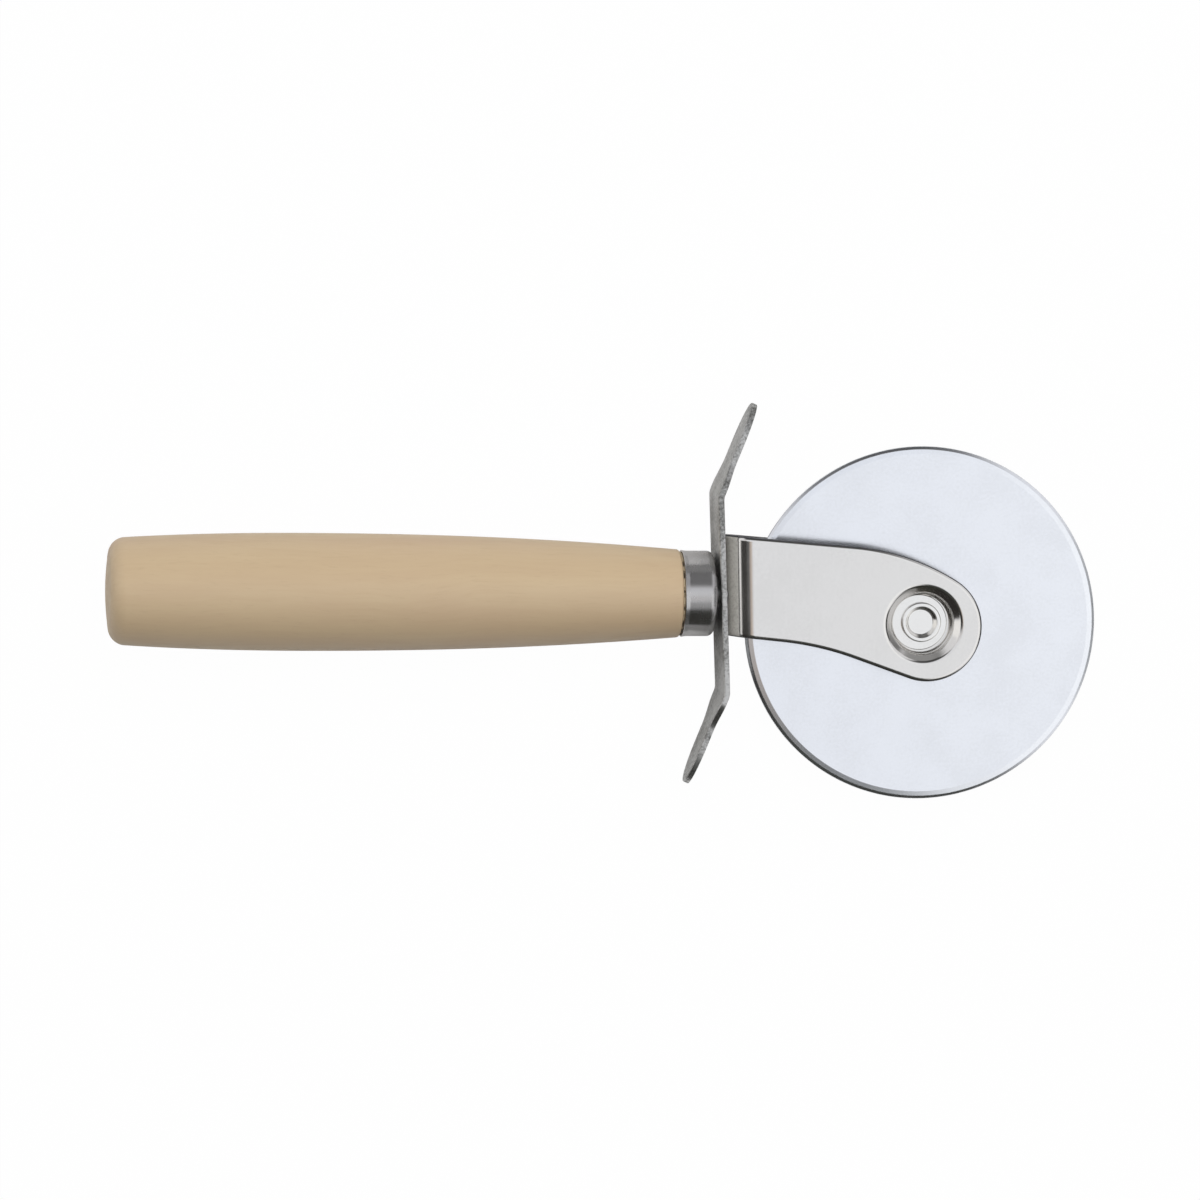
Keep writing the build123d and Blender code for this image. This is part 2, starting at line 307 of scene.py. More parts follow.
@dataclass(frozen=True)
class WoodFinish:
    """Pale close-grained wood under a thin satin lacquer."""

    name: str = "lacquered_beech"
    plain: Colour = (0.655, 0.505, 0.320)
    bands: Figure = Figure(Grain(230.0, 3.0, 0.55, (0.07, 1.0, 1.0)), (0.600, 0.440, 0.280), 0.35, 0.68, 0.45)
    patches: Figure = Figure(Grain(42.0, 2.0, 0.5, (0.45, 1.0, 1.0)), (0.610, 0.425, 0.290), 0.45, 0.72, 0.45)
    threads: Figure = Figure(
        Grain(1500.0, 3.0, 0.6, (0.045, 1.0, 1.0)), (0.600, 0.440, 0.280), 0.40, 0.75, 0.30
    )
    flecks: Figure = Figure(Grain(2600.0, 1.0, 0.4, (0.13, 1.0, 1.0)), (0.50, 0.36, 0.23), 0.60, 0.74, 0.14)
    wander: Grain = Grain(30.0)
    wander_reach: tuple[float, float, float] = (0.012, 0.006, 0.006)
    smoothest: float = 0.40
    roughest: float = 0.53
    lacquer: float = 0.16
    lacquer_roughness: float = 0.26
    thread_height: float = 0.6
    fleck_height: float = -0.5
    relief: float = 0.12
    relief_depth: float = 0.00006

    def make(self, centre: Vector) -> bpy.types.Material:
        """Makes the material.

        Args:
            centre: Middle of the piece, from which the grain is laid out.

        Returns:
            The finished material.
        """
        paint = Paint(self.name, centre)
        desk = paint.desk
        bent = desk.vector("MULTIPLY", desk.noise(paint.place, self.wander, "Color"), self.wander_reach)
        place = desk.vector("ADD", paint.place, bent)
        colour: object = self.plain
        noises: dict[Figure, Socket] = {}
        for figure in (self.bands, self.patches, self.threads, self.flecks):
            noise = desk.noise(place, figure.grain)
            share = desk.ramp(noise, figure.low, figure.high, 0.0, figure.strength)
            colour = desk.mix(share, colour, figure.colour)
            noises[figure] = noise
        threads, flecks = noises[self.threads], noises[self.flecks]
        paint.set("Base Color", colour)
        paint.set("Roughness", desk.spread(threads, self.smoothest, self.roughest))
        paint.set("Coat Weight", self.lacquer)
        paint.set("Coat Roughness", self.lacquer_roughness)
        height = desk.total(
            desk.math("MULTIPLY", threads, self.thread_height),
            desk.math("MULTIPLY", flecks, self.fleck_height),
        )
        paint.bump(height, self.relief, self.relief_depth)
        return paint.material


@dataclass(frozen=True)
class SteelFinish:
    """Steel with its own colour, gloss, polishing lines and faint marks.

    Args:
        name: Name of the material.
        colour: Reflected colour.
        roughness: Middle value of the roughness.
        spread: How far the roughness wanders either way.
        lines: Which way the polishing lines run.
        line_depth: Depth of the polishing lines in metres.
        mottle: Share of darker, duller spots.
        dull: Colour of those spots.
        ripple: Depth of the slow waves of a pressed sheet, in metres.
        brushed: How strongly lines round the tool smear what it mirrors along the tool.
        metal: How metallic it is, less on the matt brown bends of the fork.
    """

    name: str
    colour: Colour
    roughness: float
    spread: float
    lines: PolishLines
    line_depth: float
    mottle: float = 0.0
    dull: Colour = (0.34, 0.34, 0.33)
    ripple: float = 0.0
    brushed: float = 0.0
    metal: float = 1.0

    # Patterns that all steel shares: slow clouds, fine specks, the waves of a pressed sheet,
    # and the wander of lines that run round an axle, with its reach in metres
    CLOUD = Grain(90.0, 3.0, 0.55)
    SPECK = Grain(1900.0, 4.0, 0.65)
    WAVES = Grain(130.0, 1.0, 0.4)
    WANDER = Grain(60.0)
    WANDER_REACH = 0.0004
    # Spots are mixed of clouds and specks, and show between two values of that mixture
    CLOUD_SHARE = 0.45
    SPOT_LOW = 0.42
    SPOT_HIGH = 0.62
    # Even clean steel has this share of them, and from the second share on they are rougher too
    LEAST_MOTTLE = 0.06
    ROUGH_MOTTLE = 0.3
    SPOT_ROUGHNESS = 0.12
    SPOT_HEIGHT = 0.4
    # Depth in metres of one unit of the height pattern
    DEPTH = 0.00001
    QUARTER_TURN = 0.25

    def _line_noise(self, desk: Desk, place: Socket) -> Socket:
        """The pattern of the polishing lines.

        Args:
            desk: Where the nodes are added.
            place: Coordinates about the middle of round lines.

        Returns:
            The pattern.
        """
        if self.lines is PolishLines.ROUND:
            split = desk.add("ShaderNodeSeparateXYZ", {0: place})
            flat = desk.joined(split.outputs[0], split.outputs[1])
            radius = desk.add("ShaderNodeVectorMath", {0: flat}, operation="LENGTH").outputs["Value"]
            wander = desk.math("MULTIPLY", desk.noise(place, self.WANDER), self.WANDER_REACH)
            place = desk.joined(desk.total(radius, wander))
        return desk.noise(place, self.lines.value)

    def make(self, centre: Vector) -> bpy.types.Material:
        """Makes the material.

        Args:
            centre: Point about which round lines are drawn.

        Returns:
            The finished material.
        """
        paint = Paint(self.name, centre)
        desk = paint.desk
        cloud = desk.noise(paint.place, self.CLOUD)
        speck = desk.noise(paint.place, self.SPECK)
        lines = self._line_noise(desk, paint.place)
        blend = desk.total(
            desk.math("MULTIPLY", cloud, self.CLOUD_SHARE),
            desk.math("MULTIPLY", speck, 1 - self.CLOUD_SHARE),
        )
        spots = desk.ramp(blend, self.SPOT_LOW, self.SPOT_HIGH)
        share = desk.math("MULTIPLY", spots, max(self.mottle, self.LEAST_MOTTLE))
        paint.set("Base Color", desk.mix(share, self.colour, self.dull))
        paint.set("Metallic", self.metal)
        if self.brushed > 0:
            paint.set("Anisotropic", self.brushed)
            paint.set("Anisotropic Rotation", self.QUARTER_TURN)
            round_tool = desk.add("ShaderNodeTangent", direction_type="RADIAL", axis="X")
            paint.set("Tangent", round_tool.outputs[0])
        rough = desk.spread(cloud, self.roughness - self.spread, self.roughness + self.spread)
        rough = desk.total(rough, desk.math("MULTIPLY", desk.math("SUBTRACT", lines, 0.5), self.spread))
        if self.mottle > self.ROUGH_MOTTLE:
            rough = desk.total(rough, desk.math("MULTIPLY", spots, self.SPOT_ROUGHNESS))
        paint.set("Roughness", rough)
        height = desk.total(
            desk.math("MULTIPLY", lines, self.line_depth / self.DEPTH),
            desk.math("MULTIPLY", desk.noise(paint.place, self.WAVES), self.ripple / self.DEPTH),
            desk.math("MULTIPLY", speck, self.mottle * self.SPOT_HEIGHT),
        )
        paint.bump(height, 1.0, self.DEPTH)
        return paint.material


@dataclass(frozen=True)
class GlueFinish:
    """Dark line of dried glue and dust in a joint."""

    name: str = "joint_glue"
    colour: Colour = (0.060, 0.042, 0.026)
    pale: Colour = (0.52, 0.42, 0.28)
    crumbs: Grain = Grain(620.0, 3.0, 0.6)
    pale_low: float = 0.46
    pale_high: float = 0.58
    smoothest: float = 0.5
    roughest: float = 0.85
    relief: float = 0.5
    relief_depth: float = 0.0001

    def make(self, centre: Vector) -> bpy.types.Material:
        """Makes the material.

        Args:
            centre: Middle of the joint.

        Returns:
            The finished material.
        """
        paint = Paint(self.name, centre)
        desk = paint.desk
        crumbs = desk.noise(paint.place, self.crumbs)
        share = desk.ramp(crumbs, self.pale_low, self.pale_high)
        paint.set("Base Color", desk.mix(share, self.colour, self.pale))
        paint.set("Roughness", desk.spread(crumbs, self.smoothest, self.roughest))
        paint.bump(crumbs, self.relief, self.relief_depth)
        return paint.material


@dataclass(frozen=True)
class Corner:
    """A corner of a profile: place along the axis, distance from it, and rounding, in mm."""

    along: float
    out: float
    radius: float = 0.0


def rounded_profile(corners: Sequence[Corner], quarter: int = 10) -> np.ndarray:
    """Draws a profile whose corners are rounded, with close points beside each arc.

    The close points keep the smooth shading of an arc from running on over the flat beside it.

    Args:
        corners: The corners in order.
        quarter: Number of steps in a quarter turn.

    Returns:
        Rows of place along the axis and distance from it, in mm.
    """
    guard_share, longest_guard, least_turn = 0.12, 0.05, 1e-4
    points: list[np.ndarray] = []
    spots = [np.array((c.along, c.out), float) for c in corners]
    for i, corner in enumerate(corners):
        here = spots[i]
        if corner.radius <= 0 or i in (0, len(corners) - 1):
            points.append(here)
            continue
        into, out = here - spots[i - 1], spots[i + 1] - here
        into_len, out_len = np.linalg.norm(into), np.linalg.norm(out)
        into, out = into / into_len, out / out_len
        turn = math.acos(max(-1.0, min(1.0, float(into @ out))))
        if turn < least_turn:
            points.append(here)
            continue
        reach = corner.radius * math.tan(turn / 2)
        side = 1.0 if into[0] * out[1] - into[1] * out[0] > 0 else -1.0
        normal = side * np.array((-into[1], into[0]))
        centre = here - into * reach + normal * corner.radius
        guard = min(guard_share * corner.radius, longest_guard)
        if reach + guard < into_len:
            points.append(here - into * (reach + guard))
        steps = max(2, math.ceil(quarter * turn / (math.pi / 2)))
        for angle in np.linspace(0, turn, steps + 1):
            swing = -normal * math.cos(angle) + into * math.sin(angle)
            points.append(centre + swing * corner.radius)
        if reach + guard < out_len:
            points.append(here + out * (reach + guard))
    return np.array(points)


def dome(start: float, depth: float, reach: float, steps: int) -> np.ndarray:
    """Half section of a shallow dome on an axis.

    Args:
        start: Place of its top along the axis.
        depth: How far it falls from its top to its rim.
        reach: Distance of its rim from the axis.
        steps: Number of steps.

    Returns:
        Rows of place along the axis and distance from it.
    """
    radius = (reach**2 + depth**2) / (2 * depth)
    out = np.linspace(0, reach, steps + 1)
    return np.c_[start + radius - np.sqrt(radius**2 - out**2), out]


def arc(centre: Sequence[float], radius: float, start: float, stop: float, steps: int) -> np.ndarray:
    """Points along an arc, without its first one.

    Args:
        centre: Its centre.
        radius: Its radius.
        start: The angle at which it starts.
        stop: The angle at which it stops.
        steps: Number of steps.

    Returns:
        Rows of two values.
    """
    angles = np.linspace(start, stop, steps + 1)[1:]
    return np.asarray(centre) + radius * np.c_[np.cos(angles), np.sin(angles)]


def falling(angle: float) -> np.ndarray:
    """Direction of an edge that falls by an angle, in degrees, on its way to the wheel."""
    return np.array((math.cos(math.radians(angle)), -math.sin(math.radians(angle))))


def heading(way: np.ndarray) -> float:
    """Angle of a direction, in radians."""
    return math.atan2(way[1], way[0])


def eased(share: np.ndarray) -> np.ndarray:
    """A share from zero to one, smooth at both ends."""
    return share * share * (3 - 2 * share)


class Lathe:
    """Turns profiles about an axis with a Geometry Nodes tree."""

    # Distance in metres within which points are joined, and the turn that lays an axis along X
    WELD = 1e-6
    LAID_ALONG = Matrix(((0, 0, 1, 0), (1, 0, 0, 0), (0, 1, 0, 0), (0, 0, 0, 1)))

    def __init__(self) -> None:
        self.tree = bpy.data.node_groups.new("turned_shell", "GeometryNodeTree")
        face = self.tree.interface
        face.new_socket("Profile", in_out="INPUT", socket_type="NodeSocketGeometry")
        self.steps = face.new_socket("Steps round", in_out="INPUT", socket_type="NodeSocketInt").identifier
        self.weld = face.new_socket("Weld distance", in_out="INPUT", socket_type="NodeSocketFloat").identifier
        self.finish = face.new_socket("Finish", in_out="INPUT", socket_type="NodeSocketMaterial").identifier
        face.new_socket("Shell", in_out="OUTPUT", socket_type="NodeSocketGeometry")
        desk = Desk(self.tree)
        given = desk.add("NodeGroupInput").outputs
        profile, around = given["Profile"], given["Steps round"]
        count = desk.add("GeometryNodeAttributeDomainSize", {"Geometry": profile}).outputs["Point Count"]
        grid = desk.add(
            "GeometryNodeMeshGrid", {"Vertices X": desk.math("ADD", around, 1.0), "Vertices Y": count}
        ).outputs["Mesh"]
        index = desk.add("GeometryNodeInputIndex").outputs[0]
        row = desk.math("MODULO", index, count)
        # Half a point more, so that rounding never falls into the column before
        column = desk.math("FLOOR", desk.math("DIVIDE", desk.math("ADD", index, 0.5), count))
        spot = desk.add("GeometryNodeInputPosition").outputs[0]
        sample = desk.add("GeometryNodeSampleIndex", {"Geometry": profile}, data_type="FLOAT_VECTOR")
        self.tree.links.new(spot, sample.inputs["Value"])
        self.tree.links.new(row, sample.inputs["Index"])
        split = desk.add("ShaderNodeSeparateXYZ", {0: sample.outputs["Value"]})
        along, out = split.outputs[0], split.outputs[1]
        angle = desk.math("MULTIPLY", column, desk.math("DIVIDE", math.tau, around))
        x = desk.math("MULTIPLY", out, desk.math("COSINE", angle))
        y = desk.math("MULTIPLY", out, desk.math("SINE", angle))
        shape = desk.joined(x, y, along)
        turned = desk.add("GeometryNodeSetPosition", {"Geometry": grid, "Position": shape}).outputs[0]
        weld = {"Geometry": turned, "Distance": given["Weld distance"]}
        closed = desk.add("GeometryNodeMergeByDistance", weld).outputs[0]
        smooth = desk.add("GeometryNodeSetShadeSmooth", {"Geometry": closed}).outputs[0]
        real = desk.add("GeometryNodeRealizeInstances", {"Geometry": smooth}).outputs[0]
        dress = {"Geometry": real, "Material": given["Finish"]}
        dressed = desk.add("GeometryNodeSetMaterial", dress).outputs[0]
        desk.add("NodeGroupOutput", {"Shell": dressed})

    def turn(
        self,
        name: str,
        profile: np.ndarray,
        axis: Axis,
        centre: Vector,
        finish: bpy.types.Material,
        around: int,
    ) -> bpy.types.Object:
        """Turns one profile to a plain mesh.

        Args:
            name: Name of the piece.
            profile: Rows of place along the axis and distance from it, in mm.
            axis: Which way the axis points.
            centre: A point of the axis in the row frame, from which the profile is measured.
            finish: The material.
            around: Number of steps round.

        Returns:
            The finished object, at the origin.
        """
        base = bpy.data.meshes.new(name + "_profile")
        base.from_pydata([(a * MM, r * MM, 0.0) for a, r in profile], [], [])
        blank = placed(name + "_blank", base)
        modifier = blank.modifiers.new("turned", "NODES")
        modifier.node_group = self.tree
        modifier[self.steps] = around
        modifier[self.weld] = self.WELD
        modifier[self.finish] = finish
        bpy.context.view_layer.update()
        shell = bpy.data.meshes.new_from_object(blank.evaluated_get(bpy.context.evaluated_depsgraph_get()))
        bpy.data.objects.remove(blank)
        bpy.data.meshes.remove(base)
        if axis is Axis.ALONG:
            shell.transform(self.LAID_ALONG)
        shell.transform(Matrix.Translation(centre))
        return finished(name, shell, finish)


def placed(name: str, data: bpy.types.ID) -> bpy.types.Object:
    """Makes an object of some data and links it to the scene."""
    thing = bpy.data.objects.new(name, data)
    bpy.context.scene.collection.objects.link(thing)
    return thing


def finished(
    name: str, mesh: bpy.types.Mesh, finish: bpy.types.Material, recalculate: bool = True
) -> bpy.types.Object:
    """Makes a plain object of a mesh, smooth, dressed and with its faces outwards.

    Args:
        name: Name of the piece.
        mesh: Its mesh in the row frame.
        finish: Its material.
        recalculate: Whether the faces are turned outwards here.

    Returns:
        The object, linked to the scene.
    """
    if recalculate:
        work = bmesh.new()
        work.from_mesh(mesh)
        bmesh.ops.recalc_face_normals(work, faces=work.faces)
        work.to_mesh(mesh)
        work.free()
    mesh.name = name
    mesh.materials.clear()
    mesh.materials.append(finish)
    mesh.shade_smooth()
    return placed(name, mesh)


def inside(points: np.ndarray, loop: np.ndarray) -> np.ndarray:
    """Tells which points lie inside a closed loop.

    Args:
        points: Rows of two values.
        loop: The loop's corners in order.

    Returns:
        One truth value for each point.
    """
    result = np.zeros(len(points), bool)
    ahead = np.roll(loop, -1, axis=0)
    for (ax, ay), (bx, by) in zip(loop, ahead):
        if ay == by:
            continue
        crosses = (ay > points[:, 1]) != (by > points[:, 1])
        at = ax + (points[:, 1] - ay) * (bx - ax) / (by - ay)
        result ^= crosses & (points[:, 0] < at)
    return result


def loop_normals(loop: np.ndarray) -> np.ndarray:
    """Outward directions along a loop that runs with the material on its left."""
    ahead, behind = np.roll(loop, -1, axis=0), np.roll(loop, 1, axis=0)
    into = loop - behind
    into /= np.linalg.norm(into, axis=1)[:, None]
    out = ahead - loop
    out /= np.linalg.norm(out, axis=1)[:, None]
    way = into + out
    way /= np.linalg.norm(way, axis=1)[:, None]
    return np.c_[way[:, 1], -way[:, 0]]


Skin = Callable[[np.ndarray], tuple[np.ndarray, np.ndarray]]


@dataclass
class PressedSheet:
    """A piece cut from sheet, bent and pressed, with one side rounded at the shear.

    Args:
        skin: Gives the place and direction of the outer face for rows of flat coordinates.
        outline: The cut outline in flat coordinates, anticlockwise.
        holes: Holes in flat coordinates, clockwise.
        inner: Further points that the faces pass through.
        thickness: Thickness of the sheet.
        outer_round: Depth of the rolled edge on the outer face.
        roll: Width of the rolled edge on the outer face.
        inner_round: Rounding of the edges on the inner face.
        cut_faces: Numbers of the faces that lie on the sheared edges, filled while building.
        points: Stored rows of points, filled while building.
        normals: Their directions, filled while building.
        faces: Corner numbers of each face, filled while building.
    """

    skin: Skin
    outline: np.ndarray
    holes: list[np.ndarray]
    inner: np.ndarray
    thickness: float
    outer_round: float
    roll: float
    inner_round: float = 0.1
    cut_faces: list[int] = field(default_factory=list)
    points: list[np.ndarray] = field(default_factory=list)
    normals: list[np.ndarray] = field(default_factory=list)
    faces: list[tuple[int, ...]] = field(default_factory=list)

    # Steps round the rolled edge and the inner one, and those of the first that keep the face's
    # finish. Then how far apart the skin is felt for its slope, and points that count as one.
    ROLL_STEPS = 8
    INNER_STEPS = 3
    BRIGHT_STEPS = 4
    PROBE = 0.01
    SAME = 1e-7

    def _store(self, points: np.ndarray, normals: np.ndarray) -> int:
        """Keeps rows of points and returns the number of the first."""
        start = sum(len(p) for p in self.points)
        self.points.append(points)
        self.normals.append(normals)
        return start

    def _face(self, loops: list[np.ndarray], starts: list[int], depth: float) -> None:
        """Fills one face of the sheet between its loops.

        Args:
            loops: The outline and holes as this face has them.
            starts: Number of each loop's first stored point.
            depth: Depth below the outer face.
        """
        spots, ways = self.skin(self.inner)
        sign = 1.0 if depth == 0 else -1.0
        start = self._store(spots - ways * depth, ways * sign)
        loops_and_inner = [*loops, self.inner]
        numbers = np.concatenate([np.arange(len(a)) + s for a, s in zip(loops_and_inner, [*starts, start])])
        places = np.concatenate(loops_and_inner)
        edges = []
        offset = 0
        for loop in loops:
            edges += [(offset + i, offset + (i + 1) % len(loop)) for i in range(len(loop))]
            offset += len(loop)
        found = delaunay_2d_cdt([Vector(p) for p in places], edges, [], 0, self.SAME)
        triangles = np.array(found[2])
        original = np.array([o[0] if o else -1 for o in found[3]])
        middles = np.array([tuple(v) for v in found[0]])[triangles].mean(axis=1)
        keep = inside(middles, loops[0])
        for loop in loops[1:]:
            keep &= ~inside(middles, loop)
        for triangle in triangles[keep]:
            a, b, c = (int(numbers[original[i]]) for i in triangle)
            self.faces.append((a, b, c) if depth == 0 else (a, c, b))

    def _stations(self) -> list[tuple[float, float, float]]:
        """Steps round the sheared edge.

        Returns:
            For each step its inset from the outline, its depth below the outer face, and the
            angle of its direction from the face's own.
        """
        stations = []
        for turn in np.linspace(0, math.pi / 2, self.ROLL_STEPS + 1):
            angle = math.atan2(self.outer_round * math.sin(turn), self.roll * math.cos(turn))
            depth = self.outer_round * (1 - math.cos(turn))
            stations.append((self.roll * (1 - math.sin(turn)), depth, angle))
        for angle in np.linspace(math.pi / 2, math.pi, self.INNER_STEPS + 1):
            depth = self.thickness - self.inner_round * (1 + math.cos(angle))
            stations.append((self.inner_round * (1 - math.sin(angle)), depth, angle))
        return stations

    def build(
        self, name: str, tool: ToolFrame, finish: bpy.types.Material, cut: bpy.types.Material
    ) -> bpy.types.Object:
        """Builds the sheet as a closed mesh with exact normals.

        Args:
            name: Name of the piece.
            tool: Where the tool lies.
            finish: The material of its faces.
            cut: The material of its sheared edges.

        Returns:
            The finished object.
        """
        first, last, outer_loops, inner_loops = [], [], [], []
        for loop in (self.outline, *self.holes):
            out = loop_normals(loop)
            rows = []
            for inset, depth, angle in self._stations():
                spots, ways = self.skin(loop - out * inset)
                ahead, _ = self.skin(loop + out * self.PROBE)
                behind, _ = self.skin(loop - out * self.PROBE)
                side = ahead - behind
                side -= ways * (side * ways).sum(axis=1)[:, None]
                side /= np.linalg.norm(side, axis=1)[:, None]
                turned = ways * math.cos(angle) + side * math.sin(angle)
                rows.append(self._store(spots - ways * depth, turned))
            for step, (upper, lower) in enumerate(zip(rows, rows[1:])):
                for i in range(len(loop)):
                    j = (i + 1) % len(loop)
                    if step >= self.BRIGHT_STEPS:
                        self.cut_faces.append(len(self.faces))
                    self.faces.append((upper + i, lower + i, lower + j, upper + j))
            first.append(rows[0])
            last.append(rows[-1])
            outer_loops.append(loop - out * self.roll)
            inner_loops.append(loop - out * self.inner_round)
        self._face(outer_loops, first, 0.0)
        self._face(inner_loops, last, self.thickness)
        points = tool.place(np.concatenate(self.points))
        normals = np.concatenate(self.normals)
        normals /= np.linalg.norm(normals, axis=1)[:, None]
        mesh = bpy.data.meshes.new(name)
        mesh.from_pydata([tuple(p) for p in points], [], self.faces)
        mesh.update()
        agree = sum(1 for f in mesh.polygons if f.normal.dot(Vector(normals[f.vertices[0]])) > 0)
        if agree < len(mesh.polygons) / 2:
            mesh.flip_normals()
        piece = finished(name, mesh, finish, recalculate=False)
        mesh.normals_split_custom_set_from_vertices([tuple(n) for n in normals])
        mesh.materials.append(cut)
        for number in self.cut_faces:
            mesh.polygons[number].material_index = 1
        return piece


@dataclass(frozen=True)
class BentPath:
    """A flat path of straight parts joined by arcs.

    Args:
        corners: Its corners in the X-Y plane.
        radii: Rounding of each inner corner.
    """

    corners: tuple[tuple[float, float], ...]
    radii: tuple[float, ...]

    def parts(self) -> list[tuple[float, np.ndarray, np.ndarray, float]]:
        """Splits the path.

        Returns:
            For each part its length, its start, its first direction and its turn per length.
        """
        spots = [np.array(c, float) for c in self.corners]
        found = []
        begin = spots[0]
        for i in range(1, len(spots) - 1):
            into = spots[i] - spots[i - 1]
            into /= np.linalg.norm(into)
            out = spots[i + 1] - spots[i]
            out /= np.linalg.norm(out)
            turn = math.atan2(into[0] * out[1] - into[1] * out[0], float(into @ out))
            reach = self.radii[i - 1] * math.tan(abs(turn) / 2)
            stop = spots[i] - into * reach
            found.append((float(np.linalg.norm(stop - begin)), begin, into, 0.0))
            bend = math.copysign(1 / self.radii[i - 1], turn)
            found.append((self.radii[i - 1] * abs(turn), stop, into, bend))
            begin = spots[i] + out * reach
        last = spots[-1] - begin
        length = float(np.linalg.norm(last))
        found.append((length, begin, last / length, 0.0))
        return found

    def at(self, lengths: np.ndarray) -> tuple[np.ndarray, np.ndarray]:
        """Walks the path.

        Args:
            lengths: Distances from its start.

        Returns:
            The places, and the directions to the right of the way.
        """
        places = np.zeros((len(lengths), 2))
        rights = np.zeros((len(lengths), 2))
        start = 0.0
        parts = self.parts()
        for number, (length, begin, way, bend) in enumerate(parts):
            low = -math.inf if number == 0 else start
            high = math.inf if number == len(parts) - 1 else start + length
            here = (lengths >= low) & (lengths < high)
            step = lengths[here] - start
            left = np.array((-way[1], way[0]))
            if bend == 0:
                places[here] = begin + step[:, None] * way
                rights[here] = -left
            else:
                angle = step * bend
                swing = np.sin(angle)[:, None] * way + (1 - np.cos(angle))[:, None] * left
                places[here] = begin + swing / bend
                rights[here] = np.sin(angle)[:, None] * way - np.cos(angle)[:, None] * left
            start += length
        return places, rights


